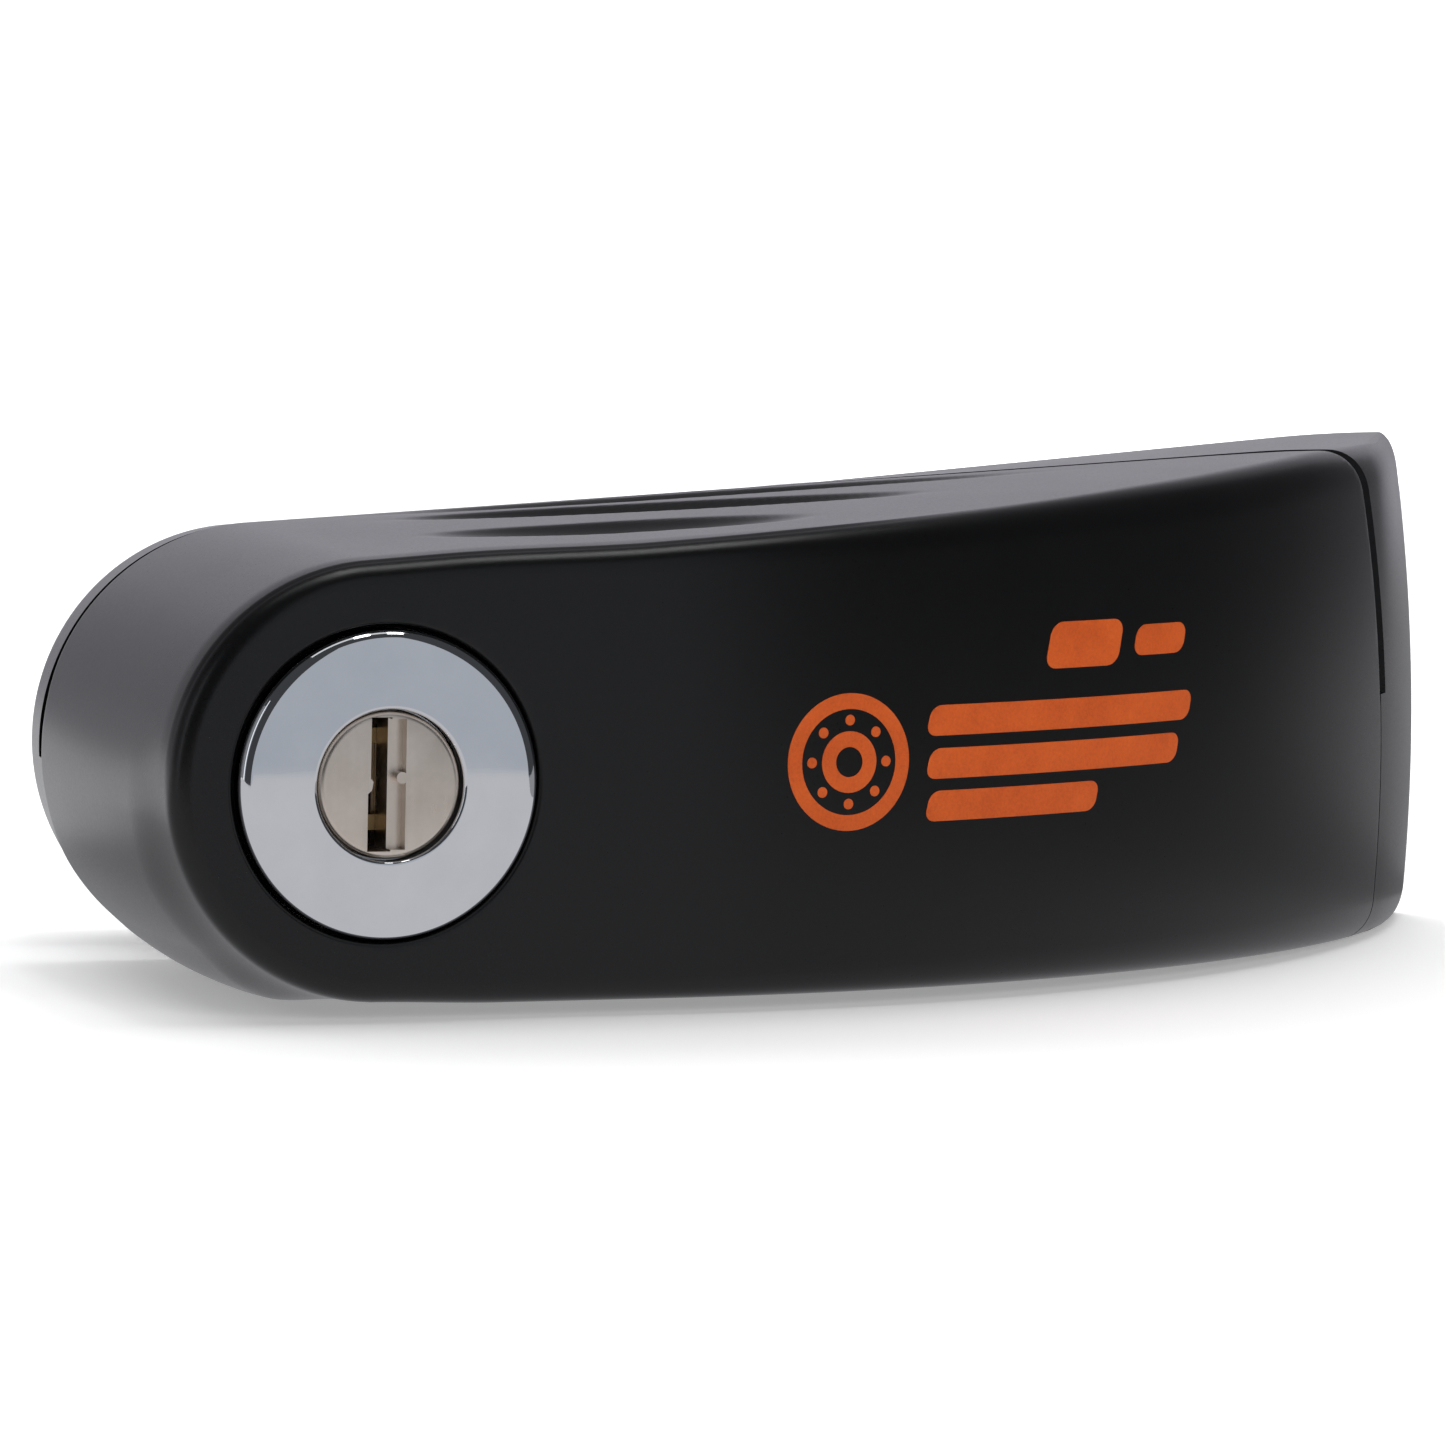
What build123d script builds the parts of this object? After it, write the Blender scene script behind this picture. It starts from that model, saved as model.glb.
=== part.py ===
from build123d import *
import os
from math import sqrt, tan, cos, sin, radians, pi

# Motorcycle brake disc lock: a cast front shell and a hardened U-frame that
# straddles the disc, closed by a push-in key cylinder whose locking pin
# crosses the slot.
# Row frame: +X towards the bridge end, +Y from the key side to the back,
# +Z up.  Origin: locking pin axis at the middle plane of the disc slot.
# Units: millimetres.

os.makedirs("parts", exist_ok=True)

# ---------------------------------------------------------------- dimensions
FRONT = -37.0            # plane of the flat front face
SEAM = 29.2              # depth of the shell, front plane to seam
PLATE_BACK = 33.2        # depth of the slot's near wall
ARM_FRONT = 40.8         # depth of the slot's far wall
BACK = 50.2              # depth of the rear face
R_END_FRONT = 13.5       # left end radius at the front plane
R_END_SEAM = 14.35       # left end radius at the seam
LOW_FRONT = 13.7         # half height below the axis, at the front plane
LOW_SEAM = 14.5          # the same at the seam
BASE_Z = -14.42          # flat underside
SLOPE_FRONT = 0.085      # rise of the top edge along X, at the front plane
SLOPE_SEAM = 0.0717      # rise of the top edge along X, at the seam
ARC_X0 = 18.5            # where the flat front starts to curve back
ARC_R = 84.0             # plan radius of that curve
ARC_END_X = 82.15        # end of that curve, at the seam
END_X = 91.8             # right end of the bridge
EDGE_MIN = 1.4           # front edge rounding at the left end
EDGE_MAX = 3.7           # top front edge rounding at the right end
EDGE_LOW = 3.0           # bottom front edge rounding at the right end
CROWN_Z = -4.0           # the right end is crowned about this height
CROWN = 0.0051           # crown, depth per height squared
SLOT_END_X = 40.0        # closed end of the disc slot
SLOT_W = ARM_FRONT - PLATE_BACK

CAP_R = 9.5              # chrome cap of the cylinder
CAP_PROUD = 0.9
BORE_R = 10.0            # mouth of the shell's bore
BARREL_R = 9.4
SLEEVE_IN_R = 9.46
SLEEVE_OUT_R = 11.98
SLEEVE_FRONT = 3.2
PLUG_R = 4.56
PIN_R = 5.0
PIN_TIP = 47.0
TRAVEL = 14.0            # how far the cylinder springs out
CRANK = 1.7              # eccentricity of the cam's drive pin
LATCH_FRONT = 17.4
LATCH_BACK = 20.4
LATCH_TIP = 11.15
SPRING_FRONT = 24.0


def y_at(depth):
    return FRONT + depth


def xz_at(depth):
    """Plane facing the key side, at a depth behind the front plane."""
    return Plane.XZ.offset(-y_at(depth))


def front_depth(x):
    """Plan curve of the front: flat, then an arc, then the bridge end."""
    if x <= ARC_X0:
        return 0.0
    if x <= ARC_END_X:
        return ARC_R - sqrt(ARC_R ** 2 - (x - ARC_X0) ** 2)
    u = x - ARC_END_X
    return SEAM + 1.10 * u + 0.040 * u ** 2


def top_seam(x):
    return R_END_SEAM * sqrt(1 + SLOPE_SEAM ** 2) + SLOPE_SEAM * x


def ease(u):
    u = min(max(u, 0.0), 1.0)
    return u * u * (3 - 2 * u)


def front_drop(x):
    """How far the top front edge sinks under its straight line."""
    return 0.42 * ease((x - 4.0) / 14.0) + 0.28 * ease((x - 18.0) / 26.0)


def top_front(x):
    return min(
        R_END_FRONT * sqrt(1 + SLOPE_FRONT ** 2) + SLOPE_FRONT * x,
        top_seam(x) - 0.1,
    ) - front_drop(x)


def top_z(x, depth):
    a, b = top_front(x), top_seam(x)
    return a + (b - a) * depth / SEAM


def low_z(depth):
    return -(LOW_FRONT + (LOW_SEAM - LOW_FRONT) * depth / SEAM)


def growth(x):
    """0 at the left end, 1 at the right end, eased."""
    u = min(max((x - 16.0) / 62.0, 0.0), 1.0)
    return u * u * (3 - 2 * u)


def crown(x):
    """Crown of the front, a little stronger round the bridge end."""
    u = min(max((x - 82.0) / 8.0, 0.0), 1.0)
    return CROWN * growth(x) * (1 + 0.45 * u * u * (3 - 2 * u))


# ----------------------------------------------------------------- envelope
X_JOIN = -1.09           # where the straight edges are tangent to the end
REAR_V = 58.0            # virtual depth of the lofted sections
STEP_IN = 0.02           # the long body starts this much inside the rounded end
STATIONS = [X_JOIN, 6, 13, 18.5, 24, 30, 36, 42, 48, 54, 60, 66, 72, 77, 82, 86, 89.5, 93]

sections = []
for x in STATIONS:
    f = front_depth(x)
    if x == X_JOIN:
        zt_f = sqrt(R_END_FRONT ** 2 - X_JOIN ** 2)
        zt_s = sqrt(R_END_SEAM ** 2 - X_JOIN ** 2)
        zt_b = zt_f + (zt_s - zt_f) * REAR_V / SEAM
        z0, z1, z2, z3 = STEP_IN - zt_b, zt_b - STEP_IN, zt_f - STEP_IN, STEP_IN - zt_f
        f = STEP_IN
    else:
        z0, z1, z2, z3 = low_z(REAR_V), top_z(x, REAR_V), top_z(x, f), low_z(f)
    g = growth(x)
    edge_0 = EDGE_MIN - (STEP_IN if x == X_JOIN else 0)
    sag_t = crown(x) * (z2 - CROWN_Z) ** 2
    sag_b = crown(x) * (z3 - CROWN_Z) ** 2
    with BuildSketch(Plane.YZ.offset(x)) as sec:
        with BuildLine():
            Polyline((y_at(f + sag_b), z3), (y_at(REAR_V - 0.5), z0), (y_at(REAR_V - 0.5), z1), (y_at(f + sag_t), z2))
            if g > 0:
                ThreePointArc((y_at(f + sag_t), z2), (y_at(f), CROWN_Z), (y_at(f + sag_b), z3))
            else:
                Line((y_at(f), z2), (y_at(f), z3))
        make_face()
        fillet(sec.vertices().sort_by(Axis.X)[:2].sort_by(Axis.Y)[-1], edge_0 + (EDGE_MAX - EDGE_MIN) * g)
        fillet(sec.vertices().sort_by(Axis.Y)[:2].sort_by(Axis.X)[0], edge_0 + (EDGE_LOW - EDGE_MIN) * g)
    sections.append(sec.sketch.faces()[0])

with BuildPart() as long_body:
    loft(sections=sections)

with BuildPart() as end_body:
    with BuildSketch(Plane.XY) as end_profile:
        with BuildLine():
            r_b = R_END_FRONT + (R_END_SEAM - R_END_FRONT) * REAR_V / SEAM
            Polyline((0, y_at(0)), (-R_END_FRONT, y_at(0)), (-r_b, y_at(REAR_V)), (0, y_at(REAR_V)), close=True)
        make_face()
        fillet(end_profile.vertices().sort_by(Axis.Y)[:2].sort_by(Axis.X)[0], EDGE_MIN)
    revolve(axis=Axis.Y)
    split(bisect_by=Plane.YZ.offset(X_JOIN), keep=Keep.BOTTOM)

with BuildPart() as envelope:
    add(long_body.part)
    add(end_body.part)
    # rear face and underside
    with BuildSketch(Plane.XY.offset(BASE_Z)) as plan:
        with BuildLine():
            Polyline((-20, y_at(-5)), (END_X, y_at(-5)), (END_X, y_at(BACK)), (-20, y_at(BACK)), close=True)
        make_face()
        fillet(plan.vertices().group_by(Axis.X)[-1].sort_by(Axis.Y)[-1], 8.5)
    extrude(amount=60, mode=Mode.INTERSECT)

# -------------------------------------------------------------- front shell
# cast cover: bore, flange for the sleeve, weight pocket with screw bosses,
# and three shallow finger grooves along the top
GROOVES = [  # depth at left end, depth at right end, x range, half width, sagitta
    (12.2, 9.2, 6.0, 30.8, 3.5, 0.85),
    (24.0, 18.4, 7.6, 42.4, 2.6, 0.80),
    (27.6, 26.2, 8.2, 53.2, 1.4, 0.40),
]
LONG_SCREWS = [(52.0, 9.5), (52.0, -7.5), (71.0, 1.5)]
FLUSH_SCREWS = [(21.0, 7.4), (21.0, -7.4)]
DOWELS = [(24.0, 0.0), (62.0, 9.5)]

with BuildPart() as pocket:
    # weight pocket: tapered block, cut to follow the inside of the front
    with BuildSketch(xz_at(SEAM)) as pocket_face:
        with BuildLine():
            Polyline((27, -10.6), (77.5, -10.6), (76.5, 13.0), (73, 15.0), (27, 12.4), close=True)
        make_face()
        fillet(pocket_face.vertices(), 1.5)
    extrude(amount=SEAM - 3.4)
    with BuildSketch(Plane.XY.offset(-20)) as pocket_plan:
        with BuildLine():
            Line((10, y_at(3.6)), (ARC_X0, y_at(3.6)))
            CenterArc((ARC_X0, y_at(ARC_R)), ARC_R - 3.6, -90, 50)
            e = (ARC_X0 + (ARC_R - 3.6) * cos(radians(-40)), y_at(ARC_R) + (ARC_R - 3.6) * sin(radians(-40)))
            Polyline(e, (10, e[1]), (10, y_at(3.6)))
        make_face()
    extrude(amount=50, mode=Mode.INTERSECT)
    # bosses left standing in the pocket
    with BuildSketch(xz_at(SEAM + 1)):
        with Locations(*LONG_SCREWS):
            Circle(5.2)
        with Locations(DOWELS[1]):
            Circle(3.6)
        with Locations((41.0, 1.0)):
            Rectangle(2.2, 40)
    extrude(amount=SEAM + 2, mode=Mode.SUBTRACT)

with BuildPart() as front_shell:
    add(envelope.part)
    with BuildSketch(Plane.XY.offset(-30)):
        with Locations((30, y_at(SEAM) - 50)):
            Rectangle(200, 100)
    extrude(amount=60, mode=Mode.INTERSECT)
    # cylinder bore and sleeve seat
    with BuildSketch(Plane.XY) as bore_profile:
        with BuildLine():
            Polyline(
                (0, y_at(-1)), (BORE_R + 1.4, y_at(-1)), (BORE_R, y_at(0.4)), (BORE_R, y_at(1.3)),
                (11.0, y_at(1.3)), (11.0, y_at(2.7)), (BORE_R, y_at(2.7)), (BORE_R, y_at(SLEEVE_FRONT)),
                (SLEEVE_OUT_R + 0.02, y_at(SLEEVE_FRONT)), (SLEEVE_OUT_R + 0.02, y_at(SEAM + 1)), (0, y_at(SEAM + 1)),
                close=True,
            )
        make_face()
    revolve(axis=Axis.Y, mode=Mode.SUBTRACT)
    add(pocket.part, mode=Mode.SUBTRACT)
    # threaded and dowel holes from the seam face
    with BuildSketch(xz_at(SEAM)):
        with Locations(*LONG_SCREWS[:2]):
            Circle(2.5)
    extrude(amount=16, mode=Mode.SUBTRACT)
    with BuildSketch(xz_at(SEAM)):
        with Locations(LONG_SCREWS[2]):
            Circle(2.5)
    extrude(amount=7.6, mode=Mode.SUBTRACT)
    with BuildSketch(xz_at(SEAM)):
        with Locations(*FLUSH_SCREWS):
            Circle(2.0)
    extrude(amount=9.2, mode=Mode.SUBTRACT)
    with BuildSketch(xz_at(SEAM)):
        with Locations(*DOWELS):
            Circle(1.5)
    extrude(amount=4.0, mode=Mode.SUBTRACT)
    # guide screw hole, from the pocket into the bore
    with BuildSketch(Plane.YZ.offset(9.0)):
        with Locations((y_at(8.0), 0)):
            Circle(1.5)
    extrude(amount=20, mode=Mode.SUBTRACT)
    # finger grooves: spindles sunk into the sloping top
    for depth_a, depth_b, xa, xb, half_w, sag in GROOVES:
        over = (half_w ** 2 - sag ** 2) / (2 * sag)
        end_a = Vector(xa, y_at(depth_a), top_z(xa, depth_a))
        end_b = Vector(xb, y_at(depth_b), top_z(xb, depth_b))
        half = (end_b - end_a).length / 2
        tilt = Plane(
            origin=(end_a + end_b) / 2 + Vector(0, 0, over),
            x_dir=end_b - end_a,
            z_dir=(end_b - end_a).cross(Vector(0, 0, 1)),
        )
        with BuildSketch(tilt):
            with BuildLine():
                Line((-half, 0), (-half, -over))
                ThreePointArc((-half, -over), (0, -over - sag), (half, -over))
                Polyline((half, -over), (half, 0), (-half, 0))
            make_face()
        revolve(axis=Axis(tilt.origin, tilt.x_dir), mode=Mode.SUBTRACT)

# ------------------------------------------------------------- slotted frame
with BuildPart() as near_plate:
    # near wall of the slot, tapering in towards the slot at the left end
    with BuildSketch(xz_at(SEAM)):
        with BuildLine():
            p1 = CenterArc((0, 0), R_END_SEAM + 0.1, 94, 176)
            Polyline(p1 @ 1, (110, BASE_Z - 0.5), (110, top_seam(110) + 0.3), p1 @ 0)
        make_face()
    with BuildSketch(xz_at(PLATE_BACK)):
        with BuildLine():
            p2 = CenterArc((-0.1, 0.2), R_END_SEAM - 0.35, 94, 176)
            Polyline(p2 @ 1, (110, BASE_Z), (110, top_seam(110)), p2 @ 0)
        make_face()
    loft()

with BuildPart() as far_arm:
    # bridge and far arm, slimmer towards the back and the free end
    with BuildSketch(xz_at(PLATE_BACK)):
        with BuildLine():
            a1 = CenterArc((0, 0), 13.0, 95, 175)
            Polyline(a1 @ 1, (42, BASE_Z - 0.2), (52, BASE_Z - 0.2), (110, BASE_Z - 0.2), (110, top_seam(110)), (44, top_seam(44) - 0.3), a1 @ 0)
        make_face()
    with BuildSketch(xz_at(BACK)):
        with BuildLine():
            a2 = CenterArc((0, 0), 9.7, 95, 175)
            Polyline(a2 @ 1, (42, -13.0), (52, BASE_Z - 0.2), (110, BASE_Z - 0.2), (110, top_seam(110) + 0.4), (44, 16.3), a2 @ 0)
        make_face()
    loft()

with BuildPart() as rear_frame:
    add(envelope.part)
    with BuildSketch(Plane.XY.offset(-30)):
        with Locations((40, y_at(SEAM) + 50)):
            Rectangle(300, 100)
    extrude(amount=60, mode=Mode.INTERSECT)
    add(near_plate.part.fuse(far_arm.part), mode=Mode.INTERSECT)
    # disc slot, open at the left end, top and bottom
    with BuildSketch(Plane.XY.offset(-30)):
        with BuildLine():
            Polyline((-30, -SLOT_W / 2), (SLOT_END_X - SLOT_W / 2, -SLOT_W / 2))
            ThreePointArc(
                (SLOT_END_X - SLOT_W / 2, -SLOT_W / 2), (SLOT_END_X, 0), (SLOT_END_X - SLOT_W / 2, SLOT_W / 2)
            )
            Polyline((SLOT_END_X - SLOT_W / 2, SLOT_W / 2), (-30, SLOT_W / 2), (-30, -SLOT_W / 2))
        make_face()
    extrude(amount=60, mode=Mode.SUBTRACT)

    # seam shadow rebate along the upper half of the outline
    with BuildSketch(xz_at(SEAM)) as rebate:
        with BuildLine():
            Polyline((-30, -1.4), (110, 3.8), (110, 40), (-30, 40), close=True)
        make_face()
        with BuildLine():
            i1 = CenterArc((0, 0), R_END_SEAM - 1.0, 94, 176)
            Polyline(i1 @ 1, (76, -12), (80.3, -8), (80.3, 8), (79.4, 12.8), (77.6, 16.6), (74.5, 18.3), (45, top_seam(45) - 1.2), i1 @ 0)
        make_face(mode=Mode.SUBTRACT)
    extrude(amount=-0.33, mode=Mode.SUBTRACT)
    # pin way through the near plate, bush seat and drain in the far arm
    with BuildSketch(xz_at(PLATE_BACK + 0.5)):
        Circle(PIN_R + 0.06)
    extrude(amount=6, mode=Mode.SUBTRACT)
    with BuildSketch(xz_at(48.6)):
        Circle(7.0)
    extrude(amount=48.6 - ARM_FRONT + 0.5, mode=Mode.SUBTRACT)
    with BuildSketch(xz_at(BACK + 1)):
        Circle(1.5)
    extrude(amount=4, mode=Mode.SUBTRACT)
    # through holes and counterbores of the long screws
    with BuildSketch(xz_at(BACK + 1)):
        with Locations(*LONG_SCREWS):
            Circle(2.5)
    extrude(amount=24, mode=Mode.SUBTRACT)
    with BuildSketch(xz_at(BACK + 1)):
        with Locations(*LONG_SCREWS):
            Circle(4.5)
    extrude(amount=6, mode=Mode.SUBTRACT)
    # countersunk holes of the flush screws
    for cx, cz in FLUSH_SCREWS:
        with BuildSketch(Plane.XY.offset(cz)):
            with BuildLine():
                Polyline(
                    (cx, y_at(28)), (cx + 2.0, y_at(28)), (cx + 2.0, y_at(31.2)), (cx + 4.0, y_at(33.2)),
                    (cx + 4.0, y_at(33.9)), (cx, y_at(33.9)), close=True,
                )
            make_face()
        revolve(axis=Axis((cx, 0, cz), (0, 1, 0)), mode=Mode.SUBTRACT)
    with BuildSketch(xz_at(SEAM + 2.6)):
        with Locations(*DOWELS):
            Circle(1.5)
    extrude(amount=4, mode=Mode.SUBTRACT)

# ---------------------------------------------------- fixed internal pieces
def ring(profile):
    """Closed polyline of (radius, depth) pairs in the XY plane."""
    return [(r, y_at(d)) for r, d in profile]


with BuildPart() as guide_sleeve:
    with BuildSketch(Plane.XY):
        with BuildLine():
            Polyline(*ring([
                (SLEEVE_IN_R, SLEEVE_FRONT + 0.3), (SLEEVE_IN_R + 0.3, SLEEVE_FRONT), (SLEEVE_OUT_R, SLEEVE_FRONT),
                (SLEEVE_OUT_R, SEAM), (SLEEVE_IN_R, SEAM),
            ]), close=True)
        make_face()
    revolve(axis=Axis.Y)
    # strike groove for the latch, along the whole travel
    with BuildSketch(xz_at(LATCH_BACK + 0.1)):
        with Locations((0, -8.3)):
            Rectangle(3.4, 6.1)
    extrude(amount=LATCH_BACK + 0.1 - SLEEVE_FRONT + 1, mode=Mode.SUBTRACT)
    # guide screw hole
    with BuildSketch(Plane.YZ.offset(8.0)):
        with Locations((y_at(8.0), 0)):
            Circle(1.5)
    extrude(amount=6, mode=Mode.SUBTRACT)

with BuildPart() as guide_screw:
    with BuildSketch(Plane.YZ.offset(8.4)):
        with Locations((y_at(8.0), 0)):
            Circle(1.5)
    extrude(amount=5.6)
    with BuildSketch(Plane.YZ.offset(14.0)):
        with Locations((y_at(8.0), 0)):
            RegularPolygon(0.85, 6)
    extrude(amount=-1.8, mode=Mode.SUBTRACT)

with BuildPart() as wiper_seal:
    with BuildSketch(Plane.XY):
        with BuildLine():
            Polyline(*ring([(9.56, 1.9), (9.9, 1.35), (11.0, 1.35), (11.0, 2.65), (9.9, 2.65), (9.56, 2.1)]), close=True)
        make_face()
    revolve(axis=Axis.Y)

with BuildPart() as pin_bush:
    with BuildSketch(xz_at(48.6)):
        Circle(7.0)
        Circle(PIN_R + 0.06, mode=Mode.SUBTRACT)
    extrude(amount=48.6 - ARM_FRONT)
    chamfer(pin_bush.edges().group_by(Axis.Y)[0].filter_by(GeomType.CIRCLE).sort_by(SortBy.RADIUS)[0], 0.5)

with BuildPart() as throat_liner:
    # bumper for the disc's rim, a U that follows the closed end of the slot
    with BuildSketch(Plane.XY.offset(-12.0)):
        with BuildLine():
            w, xe = SLOT_W / 2, SLOT_END_X - SLOT_W / 2
            Line((27, -w), (xe, -w))
            ThreePointArc((xe, -w), (xe + w, 0), (xe, w))
            Polyline((xe, w), (27, w), (27.6, w - 1.1), (xe, w - 1.1))
            ThreePointArc((xe, w - 1.1), (xe + w - 1.1, 0), (xe, -w + 1.1))
            Polyline((xe, -w + 1.1), (27.6, -w + 1.1), (27, -w))
        make_face()
    extrude(amount=25.0)

with BuildPart() as long_screws:
    for (cx, cz), tip in zip(LONG_SCREWS, (14.0, 14.0, 22.0)):
        with BuildSketch(Plane.XY.offset(cz)):
            with BuildLine():
                Polyline(
                    (cx, y_at(tip)), (cx + 2.0, y_at(tip)), (cx + 2.5, y_at(tip + 0.5)), (cx + 2.5, y_at(45.2)),
                    (cx + 4.25, y_at(45.2)), (cx + 4.25, y_at(49.8)), (cx + 3.85, y_at(50.2)), (cx, y_at(50.2)),
                    close=True,
                )
            make_face()
        revolve(axis=Axis((cx, 0, cz), (0, 1, 0)))
    with BuildSketch(xz_at(BACK + 0.5)):
        with Locations(*LONG_SCREWS):
            RegularPolygon(2.3, 6)
    extrude(amount=3.1, mode=Mode.SUBTRACT)

with BuildPart() as flush_screws:
    for cx, cz in FLUSH_SCREWS:
        with BuildSketch(Plane.XY.offset(cz)):
            with BuildLine():
                Polyline(
                    (cx, y_at(20.6)), (cx + 1.6, y_at(20.6)), (cx + 2.0, y_at(21)), (cx + 2.0, y_at(31.2)),
                    (cx + 3.8, y_at(33.0)), (cx, y_at(33.0)), close=True,
                )
            make_face()
        revolve(axis=Axis((cx, 0, cz), (0, 1, 0)))
    with BuildSketch(xz_at(33.5)):
        with Locations(*FLUSH_SCREWS):
            RegularPolygon(1.45, 6)
    extrude(amount=2.2, mode=Mode.SUBTRACT)

with BuildPart() as dowel_pins:
    with BuildSketch(xz_at(SEAM + 2.4)):
        with Locations(*DOWELS):
            Circle(1.5)
    extrude(amount=6.2)
    chamfer(dowel_pins.edges().filter_by(GeomType.CIRCLE), 0.3)

# ------------------------------------------------------------ key cylinder
with BuildPart() as cylinder_cap:
    with BuildSketch(Plane.XY) as cap_profile:
        with BuildLine():
            Polyline(*ring([
                (PLUG_R + 0.10, 0.6), (PLUG_R + 0.10, -0.7), (PLUG_R + 0.30, -CAP_PROUD), (8.7, -CAP_PROUD),
            ]))
            ThreePointArc((8.7, y_at(-CAP_PROUD)), (8.7 + 0.8 * 0.7071, y_at(-0.1 - 0.8 * 0.7071)), (CAP_R, y_at(-0.1)))
            Polyline(*ring([(CAP_R, -0.1), (CAP_R, 2.8), (CAP_R - 0.2, 3.0), (8.3, 3.0), (8.3, 0.6), (PLUG_R + 0.10, 0.6)]))
        make_face()
    revolve(axis=Axis.Y)

with BuildPart() as cylinder_barrel:
    with BuildSketch(Plane.XY):
        with BuildLine():
            Polyline(*ring([
                (PLUG_R + 0.05, 0.6), (8.3, 0.6), (8.3, 3.0), (BARREL_R, 3.0), (BARREL_R, 20.5), (0, 20.5),
                (0, 17.3), (6.2, 17.3), (6.2, 14.6), (PLUG_R + 0.05, 14.6),
            ]), close=True)
        make_face()
    revolve(axis=Axis.Y)
    # latch chamber, tongue way and spring seat, open to the rear
    with BuildSketch(xz_at(20.5)):
        with Locations((0, 0.6)):
            Rectangle(7.0, 10.0)
        with Locations((0, -7.0)):
            Rectangle(3.2, 6.0)
        with Locations((0, 6.9)):
            Rectangle(3.2, 2.8)
    extrude(amount=3.2, mode=Mode.SUBTRACT)
    # guide groove along the side
    with BuildSketch(xz_at(21)):
        with Locations((9.3, 0)):
            Rectangle(2.2, 3.2)
    extrude(amount=21 - 6.4, mode=Mode.SUBTRACT)
    # seats of the drill-proof rods and the carrier screws
    with BuildSketch(xz_at(7.0)):
        with Locations((6.5, 0), (-6.5, 0)):
            Circle(0.8)
    extrude(amount=8, mode=Mode.SUBTRACT)
    with BuildSketch(xz_at(20.5)):
        with Locations((-6.6, 3.4), (6.4, 4.2)):
            Circle(0.8)
    extrude(amount=4, mode=Mode.SUBTRACT)

with BuildPart() as drill_rods:
    with BuildSketch(xz_at(7.0)):
        with Locations((6.5, 0), (-6.5, 0)):
            Circle(0.8)
    extrude(amount=6.4)

with BuildPart() as pin_carrier:
    with BuildSketch(Plane.XY):
        with BuildLine():
            Polyline(*ring([
                (0, 20.5), (BARREL_R, 20.5), (BARREL_R, 24.85), (8.0, 24.85), (8.0, 26.35), (BARREL_R, 26.35),
                (BARREL_R, 27.4), (BARREL_R - 0.3, 27.7), (6.95, 27.7), (6.95, SPRING_FRONT), (PIN_R, SPRING_FRONT),
                (PIN_R, 20.9), (0, 20.9),
            ]), close=True)
        make_face()
    revolve(axis=Axis.Y)
    with BuildSketch(xz_at(23.6)):
        with Locations((9.3, 0)):
            Rectangle(2.2, 3.2)
    extrude(amount=4, mode=Mode.SUBTRACT)
    # cross pin hole, vertical
    with BuildSketch(Plane.XY.offset(-10)):
        with Locations((0, y_at(22.4))):
            Circle(1.0)
    extrude(amount=20, mode=Mode.SUBTRACT)
    # carrier screw holes, countersunk from the spring seat
    with BuildSketch(xz_at(SPRING_FRONT + 0.1)):
        with Locations((-6.6, 3.4), (6.4, 4.2)):
            Circle(0.8)
    extrude(amount=4, mode=Mode.SUBTRACT)
    with BuildSketch(xz_at(SPRING_FRONT + 4)):
        with Locations((-6.6, 3.4), (6.4, 4.2)):
            Circle(1.3)
    extrude(amount=4 + 1.2, mode=Mode.SUBTRACT)

with BuildPart() as carrier_screws:
    with BuildSketch(xz_at(SPRING_FRONT - 1.2)):
        with Locations((-6.6, 3.4), (6.4, 4.2)):
            Circle(0.8)
    extrude(amount=SPRING_FRONT - 1.2 - 17.0)
    with BuildSketch(xz_at(SPRING_FRONT - 0.1)):
        with Locations((-6.6, 3.4), (6.4, 4.2)):
            Circle(1.3)
    extrude(amount=1.1)

with BuildPart() as barrel_oring:
    with BuildSketch(Plane.XY):
        with Locations((8.71, y_at(25.6))):
            Circle(0.70)
    revolve(axis=Axis.Y)

with BuildPart() as locking_pin:
    with BuildSketch(Plane.XY):
        with BuildLine():
            Polyline(*ring([
                (0, 20.9), (PIN_R - 0.4, 20.9), (PIN_R, 21.3), (PIN_R, PIN_TIP - 1.2), (PIN_R - 1.2, PIN_TIP), (0, PIN_TIP),
            ]), close=True)
        make_face()
    revolve(axis=Axis.Y)
    with BuildSketch(Plane.XY.offset(-10)):
        with Locations((0, y_at(22.4))):
            Circle(1.0)
    extrude(amount=20, mode=Mode.SUBTRACT)

with BuildPart() as cross_pin:
    with BuildSketch(Plane.XY.offset(-8.6)):
        with Locations((0, y_at(22.4))):
            Circle(1.0)
    extrude(amount=17.2)

with BuildPart() as return_spring:
    with BuildLine() as spring_path:
        Helix(pitch=1.24, height=3.72, radius=6.0, center=(0, y_at(SPRING_FRONT + 0.65), 0), direction=(0, 1, 0))
    with BuildSketch(Plane(origin=spring_path.line @ 0, z_dir=spring_path.line % 0)):
        Circle(0.5)
    sweep(is_frenet=True)

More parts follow.
